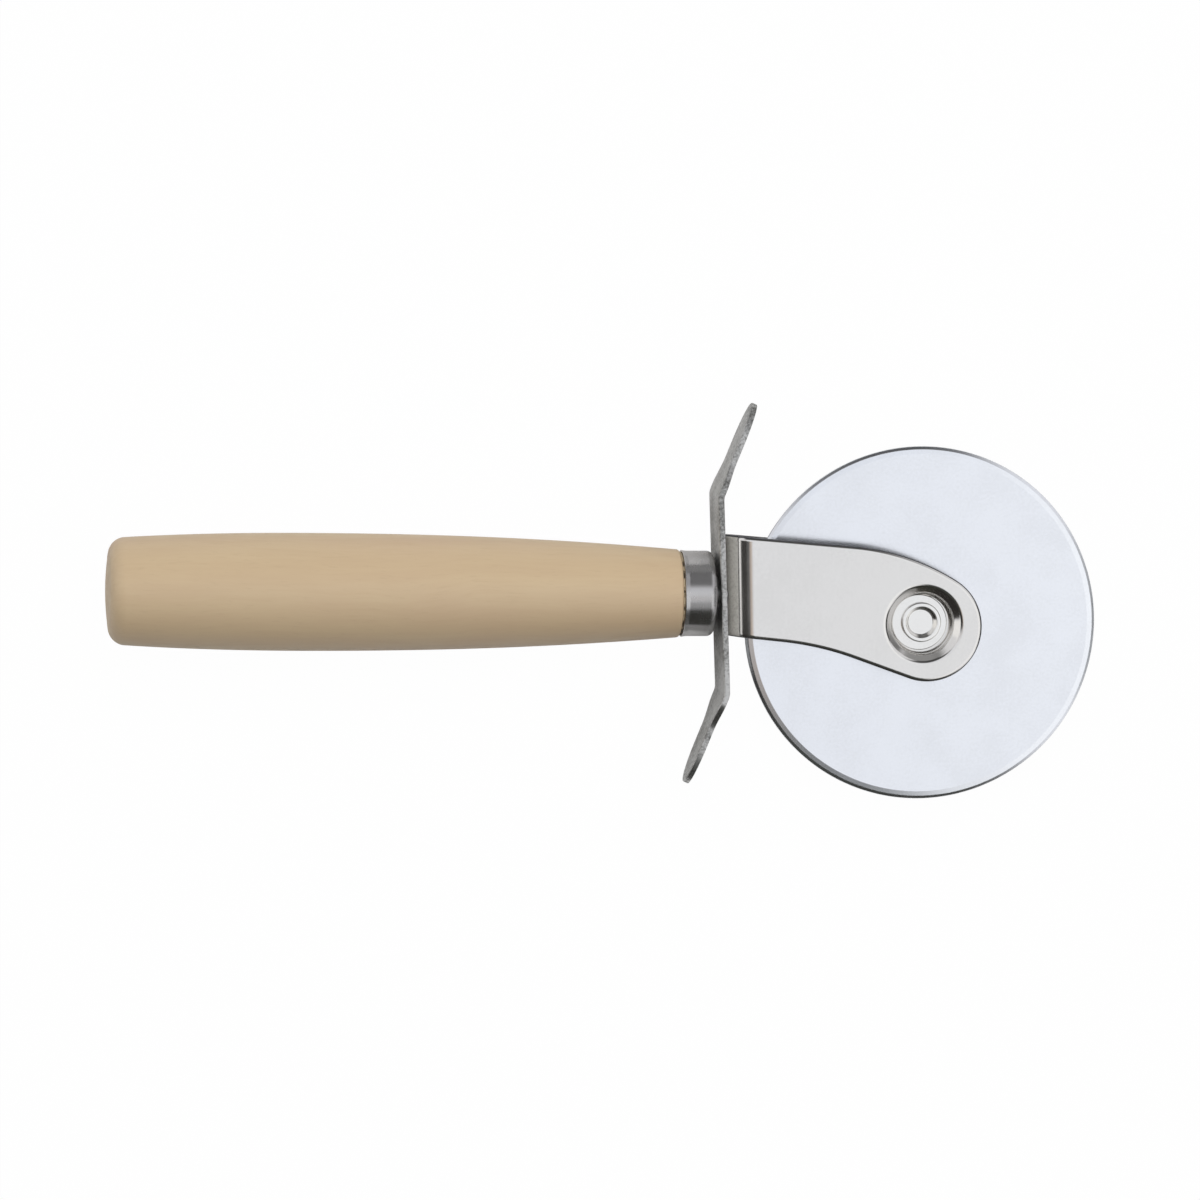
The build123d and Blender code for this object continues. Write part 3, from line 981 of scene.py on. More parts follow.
@dataclass
class Handle:
    """Turned handle with its joint to the ferrule, in mm and degrees."""

    butt_diameter: float = 19.6
    belly_diameter: float = 21.4
    hip_diameter: float = 19.95
    neck_diameter: float = 16.1
    belly_share: float = 0.34
    hip_share: float = 0.70
    crown: float = 0.45
    butt_round: float = 3.2
    neck_round: float = 0.5
    butt_swell: float = 3.5
    neck_taper: float = 4.7
    neck_drop: float = 0.06
    tenon_radius: float = 7.25
    back: float = -149.2
    front: float = -44.7
    tenon_front: float = -39.2
    bore_radius: float = 2.53
    bore_depth: float = 2.0
    sag: float = -0.0033
    grain_middle: float = -97.0
    glue_inside: float = 7.2
    glue_outside: float = 7.62
    glue_round: float = 0.08
    glue_gap: float = 0.01
    glue_width: float = 0.26

    # Steps along the butt's crown and round, the side, and the round of the neck
    BUTT_STEPS = 16
    SIDE_STEPS = 149
    NECK_STEPS = 7
    AROUND = 192
    GLUE_AROUND = 160

    def side(self, along: np.ndarray) -> np.ndarray:
        """Radius of the turned side.

        Args:
            along: Places along the axis.

        Returns:
            The radius at each place.
        """
        start = self.back + self.crown + self.butt_round
        stop = self.front - self.neck_round
        length = self.front - self.back
        belly_at = self.back + self.belly_share * length
        hip_at = self.back + self.hip_share * length
        knots = np.array((start, belly_at, hip_at, stop))
        diameters = (self.butt_diameter, self.belly_diameter, self.hip_diameter, self.neck_diameter)
        values = np.array(diameters) / 2
        # The slope at the hip makes the bend run on without a step
        taper = -math.tan(math.radians(self.neck_taper))
        first, second = hip_at - belly_at, stop - hip_at
        pull = 3 * ((values[2] - values[1]) / first**2 + (values[3] - values[2]) / second**2)
        hip_slope = (pull - taper / second) / (2 / first + 2 / second)
        slopes = np.array((math.tan(math.radians(self.butt_swell)), 0.0, hip_slope, taper))
        part = np.clip(np.searchsorted(knots, along, side="right") - 1, 0, 2)
        width = knots[part + 1] - knots[part]
        t = (along - knots[part]) / width
        return (
            values[part] * (1 + 2 * t) * (1 - t) ** 2
            + slopes[part] * width * t * (1 - t) ** 2
            + values[part + 1] * t**2 * (3 - 2 * t)
            + slopes[part + 1] * width * t**2 * (t - 1)
        )

    def profile(self) -> np.ndarray:
        """The handle's half section, from the middle of the butt to the bore."""
        crown_out = self.butt_diameter / 2 - self.butt_round
        butt_end = self.back + self.crown + self.butt_round
        neck_start = self.front - self.neck_round
        along = np.linspace(butt_end, neck_start, self.SIDE_STEPS + 1)[1:]
        neck_out = self.neck_diameter / 2 - self.neck_round
        neck = arc((neck_start, neck_out), self.neck_round, math.pi / 2, 0, self.NECK_STEPS)
        neck[:, 1] -= self.neck_drop * (neck[:, 0] - neck_start) / self.neck_round
        bore_end = self.front - self.bore_depth
        return np.concatenate(
            [
                dome(self.back, self.crown, crown_out, self.BUTT_STEPS),
                arc((butt_end, crown_out), self.butt_round, math.pi, math.pi / 2, self.BUTT_STEPS),
                np.c_[along, self.side(along)],
                neck,
                ((self.front, self.tenon_radius), (self.tenon_front, self.tenon_radius)),
                ((self.tenon_front, self.bore_radius), (bore_end, self.bore_radius), (bore_end, 0.0)),
            ]
        )

    def glue_profile(self) -> np.ndarray:
        """The section of the line of glue between the handle and the ferrule."""
        start = self.front + self.glue_gap
        stop = start + self.glue_width
        return rounded_profile(
            [
                Corner(start, self.glue_inside),
                Corner(start, self.glue_outside, self.glue_round),
                Corner(stop, self.glue_outside, self.glue_round),
                Corner(stop, self.glue_inside),
                Corner(start, self.glue_inside),
            ]
        )

    def build(self, lathe: Lathe, tool: ToolFrame) -> None:
        """Builds the handle and the line of glue at its front.

        Args:
            lathe: The lathe that turns it.
            tool: Where the tool lies.
        """
        wood = WoodFinish().make(tool.origin + Vector((self.grain_middle * MM, 0, 0)))
        piece = lathe.turn("turned_handle", self.profile(), Axis.ALONG, tool.origin, wood, self.AROUND)
        # The handle sits on its tang with a slight lean
        front = tool.origin.x + self.front * MM
        lean = Matrix(((1, 0, 0, 0), (self.sag, 1, 0, -self.sag * front), (0, 0, 1, 0), (0, 0, 0, 1)))
        piece.data.transform(lean)
        report(piece, Body.HOLDER, "beech_wood", "handle")
        glue = GlueFinish().make(tool.origin + Vector((self.front * MM, 0, 0)))
        bead = lathe.turn(
            "joint_glue_line", self.glue_profile(), Axis.ALONG, tool.origin, glue, self.GLUE_AROUND
        )
        report(bead, Body.HOLDER, "beech_wood")


@dataclass
class Ferrule:
    """Drawn steel cap over the handle's tenon, in mm."""

    radius: float = 7.8
    wall: float = 0.5
    back: float = -44.35
    front: float = -38.4
    flare: float = 0.15
    flare_length: float = 0.8
    shoulder: float = 1.3
    hole: float = 2.7
    flare_round: float = 0.12
    hole_round: float = 0.1
    finish: SteelFinish = SteelFinish(
        "drawn_ferrule_steel",
        (0.57, 0.56, 0.56),
        roughness=0.26,
        spread=0.03,
        lines=PolishLines.AROUND_TOOL,
        line_depth=0.0000008,
        brushed=0.85,
    )

    QUARTER_STEPS = 16
    AROUND = 192

    def build(self, lathe: Lathe, tool: ToolFrame) -> None:
        """Builds the ferrule.

        Args:
            lathe: The lathe that turns it.
            tool: Where the tool lies.
        """
        inner = self.radius - self.wall
        profile = rounded_profile(
            [
                Corner(self.back, inner + self.flare),
                Corner(self.back, self.radius + self.flare, self.flare_round),
                Corner(self.back + self.flare_length, self.radius, self.flare_length),
                Corner(self.front, self.radius, self.shoulder),
                Corner(self.front, self.hole, self.hole_round),
                Corner(self.front - self.wall, self.hole, self.hole_round),
                Corner(self.front - self.wall, inner, self.shoulder - self.wall),
                Corner(self.back + self.flare_length, inner, self.flare_length),
                Corner(self.back, inner + self.flare),
            ],
            self.QUARTER_STEPS,
        )
        steel = self.finish.make(tool.origin)
        piece = lathe.turn("ferrule_cap", profile, Axis.ALONG, tool.origin, steel, self.AROUND)
        report(piece, Body.HOLDER, "ferrule_steel", "ferrule")


@dataclass
class FingerGuard:
    """Bent steel strip with two rounded leaves, in mm and degrees."""

    height: float = 70.0
    width: float = 12.6
    sheet: float = 1.1
    flat_height: float = 36.4
    inside_bend: float = 2.0
    leaf_angle: float = 24.0
    tip_width: float = 8.4
    tip_length: float = 7.5
    taper_lead: float = 0.8
    taper_share: float = 0.6
    back: float = -37.5
    hole: float = 2.05
    edge_round: float = 0.28
    edge_roll: float = 0.3
    lean: float = 0.045
    shift: float = -0.2
    bend_reach: float = 1.6
    edge_band: float = 0.75
    finish: SteelFinish = SteelFinish(
        "tumbled_guard_steel",
        (0.52, 0.52, 0.51),
        roughness=0.34,
        spread=0.05,
        lines=PolishLines.ALONG,
        line_depth=0.000002,
        mottle=0.85,
        dull=(0.24, 0.24, 0.23),
        ripple=0.00001,
    )
    edge_finish: SteelFinish = SteelFinish(
        "tumbled_edge_steel",
        (0.62, 0.62, 0.61),
        roughness=0.36,
        spread=0.05,
        lines=PolishLines.ALONG,
        line_depth=0.000002,
        mottle=0.90,
        dull=(0.20, 0.20, 0.19),
    )

    # Steps along each stretch of the outline, round the hole, and inside across each bend
    TIP_STEPS = 28
    STRAIGHT_STEPS = 8
    TAPER_STEPS = 29
    MIDDLE_STEPS = 69
    HOLE_STEPS = 48
    BEND_COLUMNS = 26
    BEND_ROWS = 19

    def path(self) -> BentPath:
        """The strip's face on the handle's side, from the lower tip to the upper one."""
        lean = math.radians(self.leaf_angle)
        run = (self.height - self.flat_height) / 2 * math.tan(lean)
        outer = self.flat_height / 2
        inner = outer - self.sheet * math.tan(lean / 2)
        tip = self.height / 2
        low = (self.back - run - self.sheet * math.cos(lean) + self.sheet, -tip + self.sheet * math.sin(lean))
        high = (self.back + run, tip)
        return BentPath(
            (low, (self.back, -inner), (self.back, outer), high),
            (self.inside_bend, self.inside_bend + self.sheet),
        )

    def outline(self, length: float, corners: tuple[float, float]) -> np.ndarray:
        """The strip's outline in length and width.

        Args:
            length: Length of the strip.
            corners: Where the two bends' corners lie along it.

        Returns:
            The outline, anticlockwise.
        """
        root, tip = self.width / 2, self.tip_width / 2
        bend = math.tan(math.radians(self.leaf_angle) / 2)
        lead = (self.inside_bend + self.sheet) * bend + self.taper_lead
        upper: list[tuple[float, float]] = []
        for end, corner, way in ((length, corners[1], -1.0), (0.0, corners[0], 1.0)):
            straight = end + way * self.tip_length
            root_at = corner - way * lead
            tip_at = root_at + self.taper_share * (straight - root_at)
            half: list[tuple[float, float]] = []
            for angle in np.linspace(0, math.pi / 2, self.TIP_STEPS + 1):
                half.append((straight - way * self.tip_length * math.cos(angle), tip * math.sin(angle)))
            for place in np.linspace(straight, tip_at, self.STRAIGHT_STEPS + 1)[1:]:
                half.append((place, tip))
            for share in np.linspace(0, 1, self.TAPER_STEPS + 1)[1:]:
                half.append((tip_at + (root_at - tip_at) * share, tip + (root - tip) * eased(share)))
            if way < 0:
                middle = np.linspace(root_at, corners[0] - lead, self.MIDDLE_STEPS + 1)[1:-1]
                upper = half + [(place, root) for place in middle]
            else:
                upper += half[::-1]
        return np.array(upper + [(place, -across) for place, across in upper[-2:0:-1]])

    def build(self, tool: ToolFrame) -> None:
        """Builds the guard.

        Args:
            tool: Where the tool lies.
        """
        path = self.path()
        parts = path.parts()
        length = sum(p[0] for p in parts)
        bends = (parts[0][0] + parts[1][0] / 2, sum(p[0] for p in parts[:3]) + parts[3][0] / 2)
        centre_at = parts[0][0] + parts[1][0] - parts[2][1][1]

        def skin(flat: np.ndarray) -> tuple[np.ndarray, np.ndarray]:
            """Place and direction of the face on the handle's side."""
            places, rights = path.at(flat[:, 0])
            x = places[:, 0] - self.lean * places[:, 1] + self.shift
            return np.c_[x, places[:, 1], flat[:, 1]], np.c_[-rights, np.zeros(len(flat))]

        columns = np.concatenate(
            [np.linspace(p - self.bend_reach, p + self.bend_reach, self.BEND_COLUMNS) for p in bends]
        )
        rows = np.linspace(self.edge_band - self.width / 2, self.width / 2 - self.edge_band, self.BEND_ROWS)
        inner = np.array([(u, v) for u in columns for v in rows])
        turn = np.linspace(0, -math.tau, self.HOLE_STEPS + 1)[:-1]
        hole = np.c_[centre_at + self.hole * np.cos(turn), self.hole * np.sin(turn)]
        outline = self.outline(length, bends)
        sheet = PressedSheet(skin, outline, [hole], inner, self.sheet, self.edge_round, self.edge_roll)
        steel, cut = self.finish.make(tool.origin), self.edge_finish.make(tool.origin)
        piece = sheet.build("finger_guard_strip", tool, steel, cut)
        report(piece, Body.HOLDER, "guard_steel", "finger_guard")


@dataclass
class Fork:
    """One strip of sheet bent to a U with a dish pressed into each arm, in mm and degrees."""

    sheet: float = 1.0
    width: float = 10.4
    corner_radius: float = 5.0
    reach: float = 36.4
    top_height: float = 11.1
    bottom_depth: float = 7.4
    end_radius: float = 10.0
    end_lead: float = 0.7
    end_drop: float = 0.3
    top_straight: float = 23.4
    neck_radius: float = 56.0
    top_angle: float = 4.9
    bottom_angle: float = 5.7
    neck_angle: float = 19.8
    wheel_drop: float = 5.4
    dish_rim: float = 7.05
    dish_step: float = 5.6
    dish_floor: float = 5.45
    step_depth: float = 1.2
    rim_bend: float = 0.2
    step_bend: float = 0.05
    floor_bend: float = 0.3
    skew: float = 0.05
    matt_brown_bend_turn: float = 55.0
    dish_shift: tuple[float, float] = (-0.15, 0.30)
    dish_level: float = 1.8
    upper_hole: float = 3.05
    lower_hole: float = 3.65
    tang_hole: float = 2.05
    edge_round: float = 0.45
    edge_roll: float = 0.75
    lean: float = 0.030
    lean_reach: float = 14.0
    lean_fade: float = 10.0
    row_margins: tuple[float, float] = (0.95, 1.3)
    tang_margin: float = 0.35
    hole_margin: float = 0.65
    floor_ring: float = 4.6
    wall_rings: tuple[float, float] = (4.7, 7.9)
    section_reach: float = 12.0
    finish: SteelFinish = SteelFinish(
        "pressed_fork_steel",
        (0.80, 0.785, 0.765),
        roughness=0.14,
        spread=0.015,
        lines=PolishLines.ALONG,
        line_depth=0.0000006,
        ripple=0.0000004,
    )
    # The sheared edges are coloured near black: painted shade along the fork's edges
    edge_finish: SteelFinish = SteelFinish(
        "sheared_edge_painted_shade_steel",
        (0.17, 0.17, 0.18),
        roughness=0.42,
        spread=0.05,
        lines=PolishLines.ALONG,
        line_depth=0.000002,
    )
    # A matt, browner, mottled and less metallic steel for the bends beside the guard
    matt_brown_bend_finish: SteelFinish = SteelFinish(
        "matt_brown_bend_steel",
        (0.78, 0.76, 0.71),
        roughness=0.34,
        spread=0.05,
        lines=PolishLines.AROUND_TOOL,
        line_depth=0.000002,
        mottle=0.45,
        dull=(0.42, 0.39, 0.35),
        metal=0.30,
    )

    # Steps along an arm's top edge, its long arc, its round end, and the neck, the waist and the
    # base of its lower edge
    TOP_STEPS = 23
    ARC_STEPS = 39
    END_STEPS = 89
    NECK_STEPS = 13
    WAIST_STEPS = 30
    BASE_STEPS = 13
    # Steps round each bend, across the back and round each hole
    BEND_STEPS = 18
    BACK_STEPS = 8
    HOLE_STEPS = 96
    # Rows across the bends, and rings and their steps inside a dish
    BEND_ROWS = 34
    FLOOR_RINGS = 3
    WALL_RINGS = 64
    RING_STEPS = 120
    DISH_QUARTER = 90
    # A slope under this is flat
    FLAT = 1e-4

    def arm_edge(self) -> np.ndarray:
        """Outline of an arm from the foot of its top edge round the end to the foot of its lower edge.

        Returns:
            Rows of X and Y.
        """
        end = np.array((self.end_lead, -self.wheel_drop - self.end_drop))
        top, neck, bottom = falling(self.top_angle), falling(self.neck_angle), falling(self.bottom_angle)
        base_top = np.array((-self.reach, self.top_height))
        base_bottom = np.array((-self.reach, -self.bottom_depth))
        arc_start = base_top + top * (self.top_straight / top[0])
        # The long arc leaves the top edge smoothly and meets the round end smoothly
        to_end = end - arc_start
        inward = np.array((top[1], -top[0]))
        radius = (to_end @ to_end - self.end_radius**2) / (2 * (to_end @ inward - self.end_radius))
        centre = arc_start + inward * radius
        # The neck is tangent to the round end, and a wide waist joins it to the base
        neck_out = np.array((neck[1], -neck[0]))
        leave = end + neck_out * self.end_radius
        across = leave - base_bottom
        along = (across[0] * neck[1] - across[1] * neck[0]) / (bottom[0] * neck[1] - bottom[1] * neck[0])
        corner = base_bottom + bottom * along
        turn = math.radians(self.neck_angle - self.bottom_angle)
        cut = self.neck_radius * math.tan(turn / 2)
        first, second = corner + neck * cut, corner - bottom * cut
        hub = first + neck_out * self.neck_radius
        waist_start = heading(first - hub)
        foot_top = base_top + top * (self.corner_radius / top[0])
        foot_bottom = base_bottom + bottom * (self.corner_radius / bottom[0])
        return np.concatenate(
            [
                np.linspace(foot_top, arc_start, self.TOP_STEPS + 1),
                arc(centre, radius, heading(arc_start - centre), heading(end - centre), self.ARC_STEPS),
                arc(end, self.end_radius, heading(end - centre), heading(neck_out), self.END_STEPS),
                np.linspace(leave, first, self.NECK_STEPS + 1)[1:],
                arc(hub, self.neck_radius, waist_start, waist_start + turn, self.WAIST_STEPS),
                np.linspace(second, foot_bottom, self.BASE_STEPS + 1)[1:],
            ]
        )

    def unrolled(self, x: np.ndarray, side: float) -> np.ndarray:
        """Flat length of a place on an arm.

        Args:
            x: Places along the tool.
            side: One for the upper arm and minus one for the lower.

        Returns:
            The length from the middle of the back, with the arm's sign.
        """
        back = self.width / 2 - self.corner_radius
        bend = self.corner_radius * math.pi / 2
        return side * (back + bend + x + self.reach - self.corner_radius)

    def dish_section(self) -> tuple[np.ndarray, np.ndarray, np.ndarray]:
        """Half section of the pressed dish: a shallow cone, then a steep wall down to the floor.

        Returns:
            Distances from the dish's middle with a minus sign, depths below the arm's face, and
            the angle by which the face turns to the middle.
        """
        fall = self.width / 2 - self.dish_level
        rows = rounded_profile(
            [
                Corner(-self.section_reach, 0.0),
                Corner(-self.dish_rim, 0.0, self.rim_bend + self.sheet),
                Corner(-self.dish_step, self.step_depth, self.step_bend + self.sheet),
                Corner(-self.dish_floor, fall, self.floor_bend),
                Corner(0.0, fall),
            ],
            self.DISH_QUARTER,
        )
        turns = np.arctan2(np.diff(rows[:, 1]), np.diff(rows[:, 0]))
        middles = (rows[1:, 0] + rows[:-1, 0]) / 2
        return rows[:, 0], rows[:, 1], np.interp(rows[:, 0], middles, turns)

    def dish(self, radius: np.ndarray) -> tuple[np.ndarray, np.ndarray]:
        """How deep the pressed dish is, and its slope.

        Args:
            radius: Distances from the dish's middle.

        Returns:
            The depth below the arm's face, and the angle of the face outwards.
        """
        places, depths, turns = self.dish_section()
        return np.interp(-radius, places, depths), np.interp(-radius, places, turns)

    def skin(self, flat: np.ndarray) -> tuple[np.ndarray, np.ndarray]:
        """Place and direction of the fork's outer face.

        Args:
            flat: Rows of length from the middle of the back, and height.

        Returns:
            The places and the outward directions.
        """
        length, y = np.abs(flat[:, 0]), flat[:, 1]
        side = np.where(flat[:, 0] >= 0, 1.0, -1.0)
        back = self.width / 2 - self.corner_radius
        bend = self.corner_radius * math.pi / 2
        angle = np.clip((length - back) / self.corner_radius, 0, math.pi / 2)
        x = -self.reach + self.corner_radius * (1 - np.cos(angle)) + np.maximum(length - back - bend, 0)
        z = np.minimum(length, back) + self.corner_radius * np.sin(angle)
        normal = np.c_[-np.cos(angle), np.zeros(len(x)), np.sin(angle)]
        from_axle = np.c_[x - self.dish_shift[0], y + self.wheel_drop - self.dish_shift[1]]
        radius = np.linalg.norm(from_axle, axis=1)
        depth, slope = self.dish(radius)
        z = z - depth
        dished = slope > self.FLAT
        inward = -from_axle[dished] / radius[dished][:, None]
        normal[dished] = np.c_[inward * np.sin(slope[dished])[:, None], np.cos(slope[dished])]
        # The strip leans beside the guard, and less and less along the arms
        fade = np.clip((self.lean_reach - self.reach - x) / self.lean_fade, 0, 1)
        x = x - self.lean * y * eased(fade)
        normal[:, 2] *= side
        return np.c_[x, y - self.skew * (self.width / 2 - z * side), z * side], normal

    def flat_outline(self) -> np.ndarray:
        """The whole strip's outline, unrolled, anticlockwise."""
        edge = self.arm_edge()
        angles = np.linspace(math.pi / 2, 0, self.BEND_STEPS + 1)[1:]
        back = self.width / 2 - self.corner_radius
        bend_lengths = back + self.corner_radius * angles
        bend_x = -self.reach + self.corner_radius * (1 - np.cos(angles))
        flat = np.linspace(back, -back, self.BACK_STEPS + 1)[1:-1]
        lengths = np.concatenate([bend_lengths, flat, -bend_lengths[::-1]])
        run = np.concatenate([bend_x, np.full(len(flat), -self.reach), bend_x[::-1]]) + self.reach
        top = np.c_[lengths, self.top_height - math.tan(math.radians(self.top_angle)) * run]
        bottom = np.c_[lengths, -self.bottom_depth - math.tan(math.radians(self.bottom_angle)) * run][::-1]
        upper = np.c_[self.unrolled(edge[:, 0], 1.0), edge[:, 1]][::-1]
        lower = np.c_[self.unrolled(edge[:, 0], -1.0), edge[:, 1]]
        return np.concatenate([upper, top, lower, bottom])

    def inner_points(self) -> np.ndarray:
        """Points of the strip, unrolled, that its bends and dishes pass through."""
        inner: list[tuple[float, float]] = []
        back = self.width / 2 - self.corner_radius
        low, high = self.row_margins
        heights = np.linspace(low - self.bottom_depth, self.top_height - high, self.BEND_ROWS)
        turns = np.linspace(0, math.tau, self.RING_STEPS + 1)[:-1]
        for side, hole in ((1.0, self.upper_hole), (-1.0, self.lower_hole)):
            for length in back + self.corner_radius * np.linspace(0, math.pi / 2, self.BEND_STEPS + 1):
                for y in heights:
                    if math.hypot(length, y) > self.tang_hole + self.tang_margin:
                        inner.append((side * length, y))
            floor = np.linspace(hole + self.hole_margin, self.floor_ring, self.FLOOR_RINGS)
            for ring in (*floor, *np.linspace(*self.wall_rings, self.WALL_RINGS)):
                x = ring * np.cos(turns) + self.dish_shift[0]
                y = ring * np.sin(turns) + self.dish_shift[1] - self.wheel_drop
                inner += zip(self.unrolled(x, side), y)
        return np.array(inner)

    def build(self, tool: ToolFrame) -> None:
        """Builds the fork.

        Args:
            tool: Where the tool lies.
        """
        turn = np.linspace(0, -math.tau, self.HOLE_STEPS + 1)[:-1]
        x, y = np.cos(turn), np.sin(turn)
        holes = [
            np.c_[self.unrolled(self.upper_hole * x, 1.0), self.upper_hole * y - self.wheel_drop],
            np.c_[self.unrolled(self.lower_hole * x, -1.0), self.lower_hole * y - self.wheel_drop][::-1],
            self.tang_hole * np.c_[x, y][::2],
        ]
        sheet = PressedSheet(
            self.skin,
            self.flat_outline(),
            holes,
            self.inner_points(),
            self.sheet,
            self.edge_round,
            self.edge_roll,
        )
        # The edge steel is near black, painted shade along the sheared edges
        steel, cut = self.finish.make(tool.origin), self.edge_finish.make(tool.origin)
        piece = sheet.build("pressed_fork", tool, steel, cut)
        # The bends beside the guard take a matt, browner, mottled and less metallic steel
        piece.data.materials.append(self.matt_brown_bend_finish.make(tool.origin))
        run = self.corner_radius * (1 - math.cos(math.radians(self.matt_brown_bend_turn)))
        limit = tool.origin.x + (run - self.reach) * MM
        for face in piece.data.polygons:
            straight = face.center.x + self.lean * (face.center.y - tool.origin.y)
            if face.material_index == 0 and straight < limit:
                face.material_index = 2
        report(piece, Body.HOLDER, "fork_steel", "fork")


@dataclass
class CuttingWheel:
    """Flat polished disc ground to a thin edge, in mm."""

    radius: float = 32.5
    thickness: float = 1.0
    bevel: float = 1.4
    bevel_depth: float = 0.12
    hone: float = 0.55
    hone_depth: float = 0.32
    edge: float = 0.07
    land: float = 0.08
    bore: float = 3.66
    drop: float = 5.4
    bore_round: float = 0.06
    bevel_round: float = 0.6
    hone_round: float = 0.5
    edge_round: float = 0.02
    finish: SteelFinish = SteelFinish(
        "polished_wheel_steel",
        (0.89, 0.91, 0.955),
        roughness=0.22,
        spread=0.015,
        lines=PolishLines.ROUND,
        line_depth=0.0000004,
    )

    QUARTER_STEPS = 8
    AROUND = 384

    def build(self, lathe: Lathe, tool: ToolFrame) -> None:
        """Builds the wheel.

        Args:
            lathe: The lathe that turns it.
            tool: Where the tool lies.
        """
        half = self.thickness / 2
        upper = [
            Corner(self.land / 2, self.radius, self.edge_round),
            Corner(half - self.hone_depth, self.radius - self.edge, self.edge_round),
            Corner(half - self.bevel_depth, self.radius - self.hone, self.hone_round),
            Corner(half, self.radius - self.bevel, self.bevel_round),
            Corner(half, self.bore, self.bore_round),
        ]
        lower = [Corner(-corner.along, corner.out, corner.radius) for corner in upper[::-1]]
        middle = Corner(0.0, self.bore)
        profile = rounded_profile([middle, *lower, *upper, middle], self.QUARTER_STEPS)
        axle = tool.origin + Vector((0, -self.drop * MM, 0))
        piece = lathe.turn("polished_wheel", profile, Axis.UP, axle, self.finish.make(axle), self.AROUND)
        report(piece, Body.WHEEL, "wheel_steel", "cutting_wheel")


@dataclass
class AxleRivet:
    """Shoulder rivet with a rolled lip, and the washer under the lip, in mm."""

    drop: float = 5.4
    dish_outside: float = 1.8
    dish_inside: float = 0.8
    washer_top: float = 2.4
    washer_radius: float = 5.1
    shoulder: float = 3.6
    neck: float = 3.0
    head: float = 5.2
    head_rim: float = 0.55
    head_height: float = 1.1
    lip_radius: float = 3.65
    lip_height: float = 0.70
    lip_round: float = 0.2
    lip_shoulder: float = 0.26
    recess: float = 2.85
    recess_depth: float = 1.0
    recess_taper: float = 0.5
    lip_shift: tuple[float, float] = (-0.20, 0.40)
    washer_shift: tuple[float, float] = (-0.50, 0.35)
    shoulder_round: float = 0.04
    neck_round: float = 0.02
    lip_gap: float = 0.02
    lip_foot_round: float = 0.1
    recess_round: float = 0.25
    shift_gap: float = 0.03
    washer_gap: float = 0.01
    washer_hole_gap: float = 0.05
    washer_hole_round: float = 0.05
    washer_foot_round: float = 0.15
    washer_rim_round: float = 0.18
    finish: SteelFinish = SteelFinish(
        "rivet_steel",
        (0.88, 0.87, 0.85),
        roughness=0.16,
        spread=0.03,
        lines=PolishLines.ROUND,
        line_depth=0.0000009,
    )

    DOME_STEPS = 14
    QUARTER_STEPS = 12
    AROUND = 144

    def rivet_profile(self) -> np.ndarray:
        """The rivet's half section, from the middle of its head to the middle of its recess."""
        lip_top = self.washer_top + self.lip_height
        lip_foot = self.washer_top + self.lip_gap
        floor = lip_top - self.recess_depth
        head_edge = -self.dish_outside - self.head_rim
        rim_round = self.head_rim / 2
        reach = self.head - rim_round
        head = dome(
            -self.dish_outside - self.head_height, self.head_height - self.head_rim, reach, self.DOME_STEPS
        )
        rest = rounded_profile(
            [
                Corner(head_edge, reach),
                Corner(head_edge, self.head, rim_round),
                Corner(-self.dish_outside, self.head, rim_round),
                Corner(-self.dish_outside, self.shoulder, self.shoulder_round),
                Corner(self.dish_inside, self.shoulder, self.shoulder_round),
                Corner(self.dish_inside, self.neck, self.shoulder_round),
                Corner(self.dish_outside, self.neck),
                Corner(lip_foot, self.neck, self.neck_round),
                Corner(lip_foot, self.lip_radius, self.lip_foot_round),
                Corner(lip_top, self.lip_radius, self.lip_shoulder),
                Corner(lip_top, self.recess, self.lip_round),
                Corner(floor, self.recess - self.recess_taper, self.recess_round),
                Corner(floor, 0.0),
            ],
            self.QUARTER_STEPS,
        )
        return np.concatenate([head, rest[1:]])

    def washer_profile(self) -> np.ndarray:
        """The washer's section."""
        foot = self.dish_outside + self.washer_gap
        hole = self.neck + self.washer_hole_gap
        return rounded_profile(
            [
                Corner(foot, hole),
                Corner(foot, self.washer_radius, self.washer_foot_round),
                Corner(self.washer_top, self.washer_radius, self.washer_rim_round),
                Corner(self.washer_top, hole, self.washer_hole_round),
                Corner(foot, hole),
            ]
        )

    def build(self, lathe: Lathe, tool: ToolFrame) -> None:
        """Builds the rivet and its washer.

        Args:
            lathe: The lathe that turns them.
            tool: Where the tool lies.
        """
        axle = tool.origin + Vector((0, -self.drop * MM, 0))
        steel = self.finish.make(axle)
        rivet = lathe.turn("shoulder_rivet", self.rivet_profile(), Axis.UP, axle, steel, self.AROUND)
        # The lip was rolled a little off the shoulder's centre
        for vertex in rivet.data.vertices:
            if vertex.co.z > axle.z + (self.dish_outside + self.shift_gap) * MM:
                vertex.co += Vector((*self.lip_shift, 0)) * MM
        report(rivet, Body.HOLDER, "rivet_steel", "axle_rivet")
        seat = axle + Vector((*self.washer_shift, 0)) * MM
        washer = lathe.turn("lip_washer", self.washer_profile(), Axis.UP, seat, steel, self.AROUND)
        report(washer, Body.HOLDER, "rivet_steel", "rivet_washer")


def dress_tang(tool: ToolFrame) -> None:
    """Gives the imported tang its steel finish.

    Args:
        tool: Where the tool lies.
    """
    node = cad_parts["tang"]
    finish = SteelFinish(
        "tang_steel",
        (0.60, 0.60, 0.60),
        roughness=0.30,
        spread=0.05,
        lines=PolishLines.AROUND_TOOL,
        line_depth=0.000002,
    )
    node.data.materials.clear()
    node.data.materials.append(finish.make(tool.origin))
    log.info("tang: packed solid kept, with %s", finish.name)


